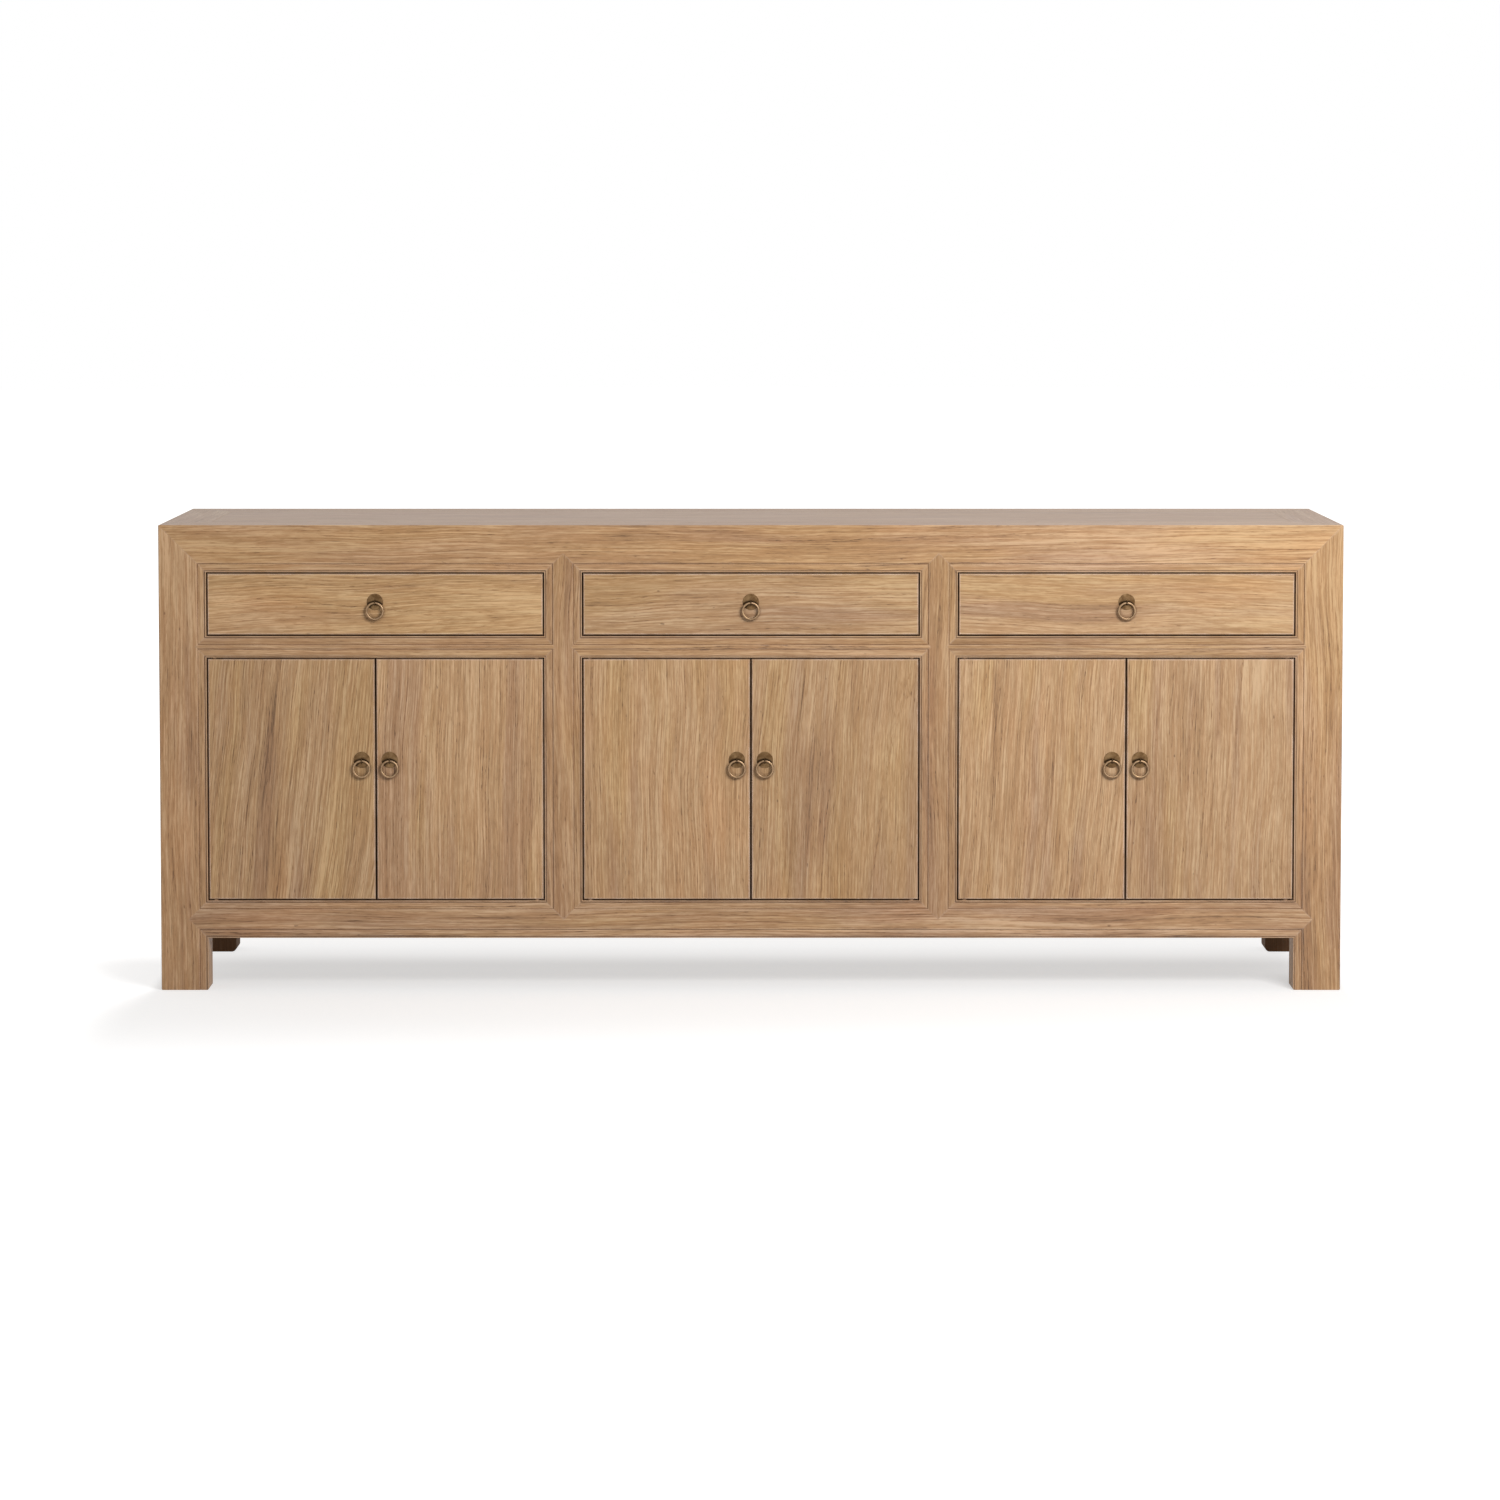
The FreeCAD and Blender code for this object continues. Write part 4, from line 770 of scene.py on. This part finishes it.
DOOR_LOOKS = {
    "door_1": {
        "pith": (0.72, 0.09), "lean": 0.06, "taper": 0.05, "figure": 0.34, "tint": -0.05, "shade": 0.98,
        "marks": ((0.36, 0.45, 0.05, 0.34, 0.17), (0.70, 0.25, 0.04, 0.26, -0.10),
                  (0.90, 0.40, 0.03, 0.30, 0.08), (0.08, 0.50, 0.04, 0.40, 0.05))},
    "door_2": {
        "pith": (-2.2, 0.30), "lean": 0.01, "tint": 0.05, "shade": 1.09,
        "marks": ((0.22, 0.75, 0.015, 0.18, 0.12), (0.36, 0.50, 0.020, 0.35, -0.08),
                  (0.75, 0.40, 0.090, 0.40, 0.07))},
    "door_3": {
        "pith": (3.0, 0.50), "figure": 0.28, "tint": -0.04,
        "marks": ((0.20, 0.15, 0.04, 0.15, 0.07), (0.85, 0.50, 0.02, 0.30, 0.06))},
    "door_4": {
        "pith": (0.45, 0.12), "lean": 0.05, "taper": 0.03, "figure": 0.28, "tint": -0.02, "shade": 0.92,
        "marks": ((0.35, 0.42, 0.035, 0.16, 0.13), (0.55, 0.25, 0.050, 0.20, 0.07),
                  (0.62, 0.85, 0.020, 0.12, 0.10), (0.20, 0.85, 0.060, 0.15, -0.08))},
    "door_5": {
        "pith": (1.6, 0.20), "lean": 0.055, "taper": 0.02, "figure": 0.26, "tint": -0.01, "shade": 0.99,
        "marks": ((0.22, 0.78, 0.008, 0.12, 0.22), (0.30, 0.60, 0.040, 0.20, 0.06),
                  (0.72, 0.70, 0.040, 0.20, 0.06), (0.10, 0.90, 0.050, 0.10, -0.05))},
    "door_6": {
        "pith": (0.40, 0.13), "lean": 0.01, "taper": 0.04, "figure": 0.26, "shade": 0.93,
        "marks": ((0.38, 0.68, 0.05, 0.16, 0.12), (0.15, 0.35, 0.06, 0.20, 0.06),
                  (0.75, 0.95, 0.09, 0.12, -0.12), (0.55, 0.80, 0.02, 0.15, 0.08))},
}
DRAWER_LOOKS = {
    "drawer_front_1": {
        "pith": (-0.35, 0.08), "lean": 0.05, "taper": 0.04, "figure": 0.34, "tint": -0.03, "shade": 1.08,
        "marks": ((0.30, 0.38, 0.020, 0.12, 0.14), (0.60, 0.62, 0.012, 0.10, 0.12),
                  (0.50, 0.92, 0.050, 0.10, -0.10), (0.50, 0.05, 0.060, 0.06, -0.06))},
    "drawer_front_2": {
        "pith": (2.0, 0.30), "lean": 0.02, "figure": 0.28, "tint": -0.01, "shade": 0.945,
        "marks": ((0.75, 0.93, 0.050, 0.10, -0.10), (0.65, 0.35, 0.012, 0.10, 0.08))},
    "drawer_front_3": {
        "pith": (-2.5, 0.25), "lean": -0.01, "figure": 0.24, "shade": 0.99,
        "marks": ((0.30, 0.97, 0.060, 0.08, -0.08), (0.60, 0.30, 0.030, 0.15, 0.05))},
}
HANDLED = {"wear_highlight": 0.95, "edge": 0.95}         # doors and drawer fronts: pale arrises partly painted as highlights, painted shade in the gaps
WARM, COOL = (1.02, 0.985, 0.97), (0.99, 0.99, 1.04)
BAYS = ("1", "2", "3")


class CABINET_OT_frame(bpy.types.Operator):
    """Give the legs, posts and rails their wood"""
    bl_idname = "cabinet.dress_frame"
    bl_label = "Legs, posts and rails"

    def execute(self, context):
        looks = {}
        for place in ("front_left", "front_right", "back_left", "back_right"):
            looks["leg_" + place] = {
                "along": "z", "pith": (2.0, 0.3), "figure": 0.40, "cast": WARM,
                # Painted shade on the back feet, darker towards the floor
                "foot_shade": 0.85 if "back" in place else 0.0, "shade": 0.99 if "left" in place else 0.93,
                "marks": ((0.5, 0.95, 0.08, 0.2, -0.08), (0.5, 0.1, 0.08, 0.25, 0.06))}
        for place, shade in (("left", 0.90), ("right", 0.87)):
            looks["post_front_" + place] = {
                "along": "z", "pith": (-2.4, 0.3), "figure": 0.38, "tint": 0.03, "shade": shade,
                "cast": WARM, "marks": ((0.3, 0.5, 0.012, 0.4, 0.10),)}
        looks["posts_back"] = {"along": "z", "step": 0.5}
        for node in ("top_rail_front", "top_rail_back"):
            looks[node] = {
                "along": "x", "pith": (1.6, 0.12), "figure": 0.32, "lean": 0.008, "shade": 0.99,
                # Painted sheen on upper faces
                "sheen": 0.5, "cast": WARM,
                "marks": ((0.5, 0.5, 0.15, 0.55, 0.08), (0.5, 0.88, 0.15, 0.60, -0.09))}
        for node in ("top_rail_left", "top_rail_right"):
            # Painted sheen on upper faces
            looks[node] = {"along": "y", "pith": (2.0, -0.3), "sheen": 0.5}
        for bay, shade, darkness in zip(BAYS, (0.95, 0.95, 0.85), (0.14, 0.05, 0.05)):
            looks["drawer_rail_" + bay] = {
                "along": "x", "pith": (2.5, 0.2), "figure": 0.42, "cast": WARM, "shade": shade,
                "marks": ((0.5, 0.03, 0.03, 0.10, darkness),)}
        looks["bottom_rail_front"] = {
            "along": "x", "pith": (1.8, 0.15), "figure": 0.48, "shade": 1.02, "cast": COOL,
            "marks": ((0.5, 0.08, 0.05, 0.5, 0.05), (0.4, 0.90, 0.04, 0.4, 0.10))}
        looks["bottom_rail_back"] = {"along": "x"}
        looks["bottom_rails_side"] = {"along": "y", "step": 2.0}
        dress_boards(looks, context.scene.elm_finish)
        return {"FINISHED"}


class CABINET_OT_top(bpy.types.Operator):
    """Give the panel of the top its wood"""
    bl_idname = "cabinet.dress_top"
    bl_label = "Top panel"

    def execute(self, context):
        look = {"along": "x flat", "pith": (0.2, -0.14), "figure": 0.34, "taper": 0.02, "tint": 0.06,
                # Painted sheen on upper faces
                "sheen": 0.5}
        dress_boards({"top_panel": look}, context.scene.elm_finish)
        return {"FINISHED"}


class CABINET_OT_doors(bpy.types.Operator):
    """Give each door board its figure, and its battens theirs"""
    bl_idname = "cabinet.dress_doors"
    bl_label = "Doors"

    def execute(self, context):
        half = DOOR_THICKNESS / 2
        turn = ("y", FACE_Y + half, half + GRAIN_CHANGE_PLAY, "x")
        looks = {node: {"along": "z", "turn": turn, "ring": node + "_ring_swing", **HANDLED, **look}
                 for node, look in DOOR_LOOKS.items()}
        dress_boards(looks, context.scene.elm_finish)
        return {"FINISHED"}


class CABINET_OT_drawers(bpy.types.Operator):
    """Give the drawer fronts their figure, and the boxes bare wood"""
    bl_idname = "cabinet.dress_drawers"
    bl_label = "Drawers"

    def execute(self, context):
        looks = {node: {"along": "x", "ring": node.replace("_front", "") + "_ring_swing", **HANDLED, **look}
                 for node, look in DRAWER_LOOKS.items()}
        dress_boards(looks, context.scene.elm_finish)
        boxes = {}
        for bay in BAYS:
            low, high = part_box("drawer_box_" + bay)
            half = (high.x - low.x) / 2 - BOX_SIDE_THICKNESS - GRAIN_CHANGE_PLAY
            boxes["drawer_box_" + bay] = {"along": "x", "turn": ("x", (low.x + high.x) / 2, half, "y")}
        dress_boards(boxes, context.scene.inside_finish)
        return {"FINISHED"}


class CABINET_OT_inside(bpy.types.Operator):
    """Give the panels, shelves and runners their wood"""
    bl_idname = "cabinet.dress_inside"
    bl_label = "Panels and inside"

    def execute(self, context):
        sides = {"along": "z side", "step": 2.0, "pith": (1.9, 0.30)}
        dress_boards({"side_panels": sides}, context.scene.elm_finish)
        inside = {
            "back_panels": {"along": "z", "step": BAY_PITCH, "pith": (0.6, 0.3)},
            "partitions": {"along": "z side", "step": 0.5},
            "floor_boards": {"along": "x flat", "step": BAY_PITCH},
            "shelves": {"along": "x flat", "step": BAY_PITCH},
            "shelf_bearers": {"along": "y", "step": 0.11},
            "drawer_runners": {"along": "y", "step": 0.11},
            "door_stops": {"along": "x", "step": BAY_PITCH},
            "cross_rails": {"along": "y", "step": 0.5},
            "top_battens": {"along": "y", "step": BAY_PITCH / 2},
        }
        dress_boards(inside, context.scene.inside_finish)
        return {"FINISHED"}


class CABINET_OT_pulls(bpy.types.Operator):
    """Make the plates, split pins and rings of the pulls"""
    bl_idname = "cabinet.add_pulls"
    bl_label = "Ring pulls"

    def execute(self, context):
        brass = context.scene.brass_finish
        ring_brass = brass_material("ring_brass", **RING_LOOK)
        for place in (*("drawer_" + bay for bay in BAYS), *DOOR_LOOKS):
            ring_body = place + "_ring"
            swing = ring_body + "_swing"
            eye = JOINT_AT[swing]
            plate_node = "pull_plate_" + place
            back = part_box(plate_node)[1].y
            # The plate carries its ring's painted shadow
            plate_brass = brass_material("brass_" + place, **PLATE_LOOK, ring=swing)
            plate = mesh_object("plate_" + place, lambda shape: build_plate(shape, eye, back, brass))
            finish_brass(plate, plate_brass, BODY_OF[plate_node], plate_node)
            ring = mesh_object("ring_" + place, lambda shape: build_ring(shape, eye, brass))
            finish_brass(ring, ring_brass, ring_body, "pull_ring_" + place)
        return {"FINISHED"}


# Studio

FLOOR_DROP, FLOOR_SEGMENTS = 0.0003, 96    # the floor lies a hair below the feet
# Where the floor's glow changes, in shares of the distance from the middle to the front
BACK_GLOW_SHARES = (0.12, 0.80)
FRONT_SHADE_SHARES = (0.12, 0.60)
FADE_START_SHARE = 1.9
SIDE_GLOW_WIDTH, SIDE_GLOW_SPREAD = 0.03, 0.6    # metres beside the feet, and more per metre forward
SIDE_HASTE = 5.0                  # how much sooner the floor fades to white beside than ahead
KEY_PLACE, KEY_AIM = (1.85, -3.2, 2.5), (0.3, 0.0, 0.5)
KEY_HEIGHT_SHARE = 0.7            # of the key light's width
SENSOR_WIDTH = 36.0               # millimetres
VIEW_END = 100.0                  # metres to which the camera sees


def seen_rays(tree):
    """1 for the rays that see the backdrop: straight from the camera, or by gloss or glass."""
    rays = put(tree, "LightPath").outputs
    total = calc(tree, "ADD", rays["Is Camera Ray"], rays["Is Glossy Ray"])
    return calc(tree, "MINIMUM", calc(tree, "ADD", total, rays["Is Transmission Ray"]), 1.0)


def floor_glow(tree, settings):
    """Light that the seen floor gives: plain white far off, with soft steps round the feet."""
    x, y, _ = split(tree, object_place(tree))
    beside = calc(tree, "MAXIMUM", calc(tree, "SUBTRACT", calc(tree, "ABSOLUTE", x), HALF_WIDTH), 0.0)
    forward = calc(tree, "MAXIMUM", calc(tree, "SUBTRACT", FRONT_Y, y), 0.0)
    aside = remap(tree, beside, 0.0, calc(tree, "MULTIPLY_ADD", forward, SIDE_GLOW_SPREAD, SIDE_GLOW_WIDTH))
    start, end = (-share * FRONT_Y for share in BACK_GLOW_SHARES)
    back_glow = remap(tree, y, start, end, 0.0, settings.floor_behind)
    start, end = (share * FRONT_Y for share in FRONT_SHADE_SHARES)
    front_shade = remap(tree, y, start, end, 0.0, settings.floor_front)
    front_shade = calc(tree, "MULTIPLY", front_shade, calc(tree, "SUBTRACT", 1.0, aside))
    near = calc(tree, "MULTIPLY_ADD", aside, settings.floor_beside, settings.floor_glow)
    near = calc(tree, "SUBTRACT", calc(tree, "ADD", near, back_glow), front_shade)
    away = length_of(tree, calc(tree, "MULTIPLY", beside, SIDE_HASTE), calc(tree, "ABSOLUTE", y))
    return remap(tree, away, -FADE_START_SHARE * FRONT_Y, settings.floor_fade, near, 1.0)


def add_floor(settings):
    """A white floor that keeps the cabinet's shadow."""
    floor = mesh_object("floor", lambda shape: bmesh.ops.create_circle(
        shape, cap_ends=True, segments=FLOOR_SEGMENTS, radius=settings.floor_radius,
        matrix=Matrix.Translation((0.0, 0.0, -FLOOR_DROP))))
    material, tree = new_material("floor_white")
    tree.nodes.clear()
    paint = put(tree, "BsdfDiffuse", {"Color": settings.floor_white}).outputs[0]
    glow = put(tree, "Emission", {"Color": WHITE, "Strength": floor_glow(tree, settings)}).outputs[0]
    seen = put(tree, "AddShader", {0: paint, 1: glow}).outputs[0]
    surface = put(tree, "MixShader", {0: seen_rays(tree), 1: paint, 2: seen}).outputs[0]
    put(tree, "OutputMaterial", {"Surface": surface})
    floor.data.materials.append(material)


def add_world(scene, settings):
    """Even light from all round, in front of a white backdrop."""
    world = bpy.data.worlds.new("studio")
    scene.world = world
    world.use_nodes = True
    tree = world.node_tree
    tree.nodes.clear()
    ambient = put(tree, "Background", {"Color": WHITE, "Strength": settings.ambient}).outputs[0]
    backdrop = put(tree, "Background", {"Color": WHITE, "Strength": 1.0}).outputs[0]
    surface = put(tree, "MixShader", {0: seen_rays(tree), 1: ambient, 2: backdrop}).outputs[0]
    put(tree, "OutputWorld", {"Surface": surface})


def add_key_light(scene, settings):
    """A large soft light, above and to the right of the camera."""
    key = bpy.data.lights.new("key", "AREA")
    key.shape = "RECTANGLE"
    key.size = settings.key_size
    key.size_y = settings.key_size * KEY_HEIGHT_SHARE
    key.energy = settings.key_power
    lamp = bpy.data.objects.new("key", key)
    lamp.location = KEY_PLACE
    lamp.rotation_mode = "QUATERNION"
    lamp.rotation_quaternion = (Vector(KEY_AIM) - lamp.location).to_track_quat("-Z", "Y")
    scene.collection.objects.link(lamp)


def add_camera(scene, settings):
    data = bpy.data.cameras.new("camera")
    data.sensor_width = SENSOR_WIDTH
    data.lens = settings.lens
    data.shift_y = settings.shift
    data.clip_end = VIEW_END
    camera = bpy.data.objects.new("camera", data)
    camera.location = (settings.side, FRONT_Y - settings.distance, settings.height)
    camera.rotation_euler = (math.pi / 2 - settings.tilt, 0.0, 0.0)
    scene.collection.objects.link(camera)
    scene.camera = camera


class CABINET_OT_stage(bpy.types.Operator):
    """Set up the floor, the light and the camera"""
    bl_idname = "cabinet.set_stage"
    bl_label = "Studio"

    def execute(self, context):
        scene, settings = context.scene, context.scene.stage_settings
        add_floor(settings)
        add_world(scene, settings)
        add_key_light(scene, settings)
        add_camera(scene, settings)
        scene.view_settings.view_transform = "Standard"
        return {"FINISHED"}


SETTINGS = {
    "elm_finish": ElmFinish,
    "inside_finish": InsideFinish,
    "brass_finish": BrassFinish,
    "stage_settings": StageSettings,
}
OPERATORS = (CABINET_OT_frame, CABINET_OT_top, CABINET_OT_doors, CABINET_OT_drawers,
             CABINET_OT_inside, CABINET_OT_pulls, CABINET_OT_stage)


class CABINET_PT_panel(bpy.types.Panel):
    """Lists the pieces, sizes and colours of the cabinet"""
    bl_idname = "CABINET_PT_panel"
    bl_label = "Kang cabinet"
    bl_space_type = "VIEW_3D"
    bl_region_type = "UI"
    bl_category = "Cabinet"

    def draw(self, context):
        for operator in OPERATORS:
            self.layout.operator(operator.bl_idname)
        for name, kind in SETTINGS.items():
            section = self.layout.box()
            section.label(text=kind.__doc__)
            for key in kind.__annotations__:
                section.prop(getattr(context.scene, name), key)


CLASSES = (*SETTINGS.values(), *OPERATORS, CABINET_PT_panel)


def register():
    for kind in CLASSES:
        bpy.utils.register_class(kind)
    for name, kind in SETTINGS.items():
        setattr(bpy.types.Scene, name, PointerProperty(type=kind))


def unregister():
    for name in SETTINGS:
        delattr(bpy.types.Scene, name)
    for kind in reversed(CLASSES):
        bpy.utils.unregister_class(kind)


def main():
    register()
    bpy.ops.cabinet.set_stage()
    bpy.ops.cabinet.dress_frame()
    bpy.ops.cabinet.dress_top()
    bpy.ops.cabinet.dress_doors()
    bpy.ops.cabinet.dress_drawers()
    bpy.ops.cabinet.dress_inside()
    bpy.ops.cabinet.add_pulls()


if __name__ == "__main__":
    main()
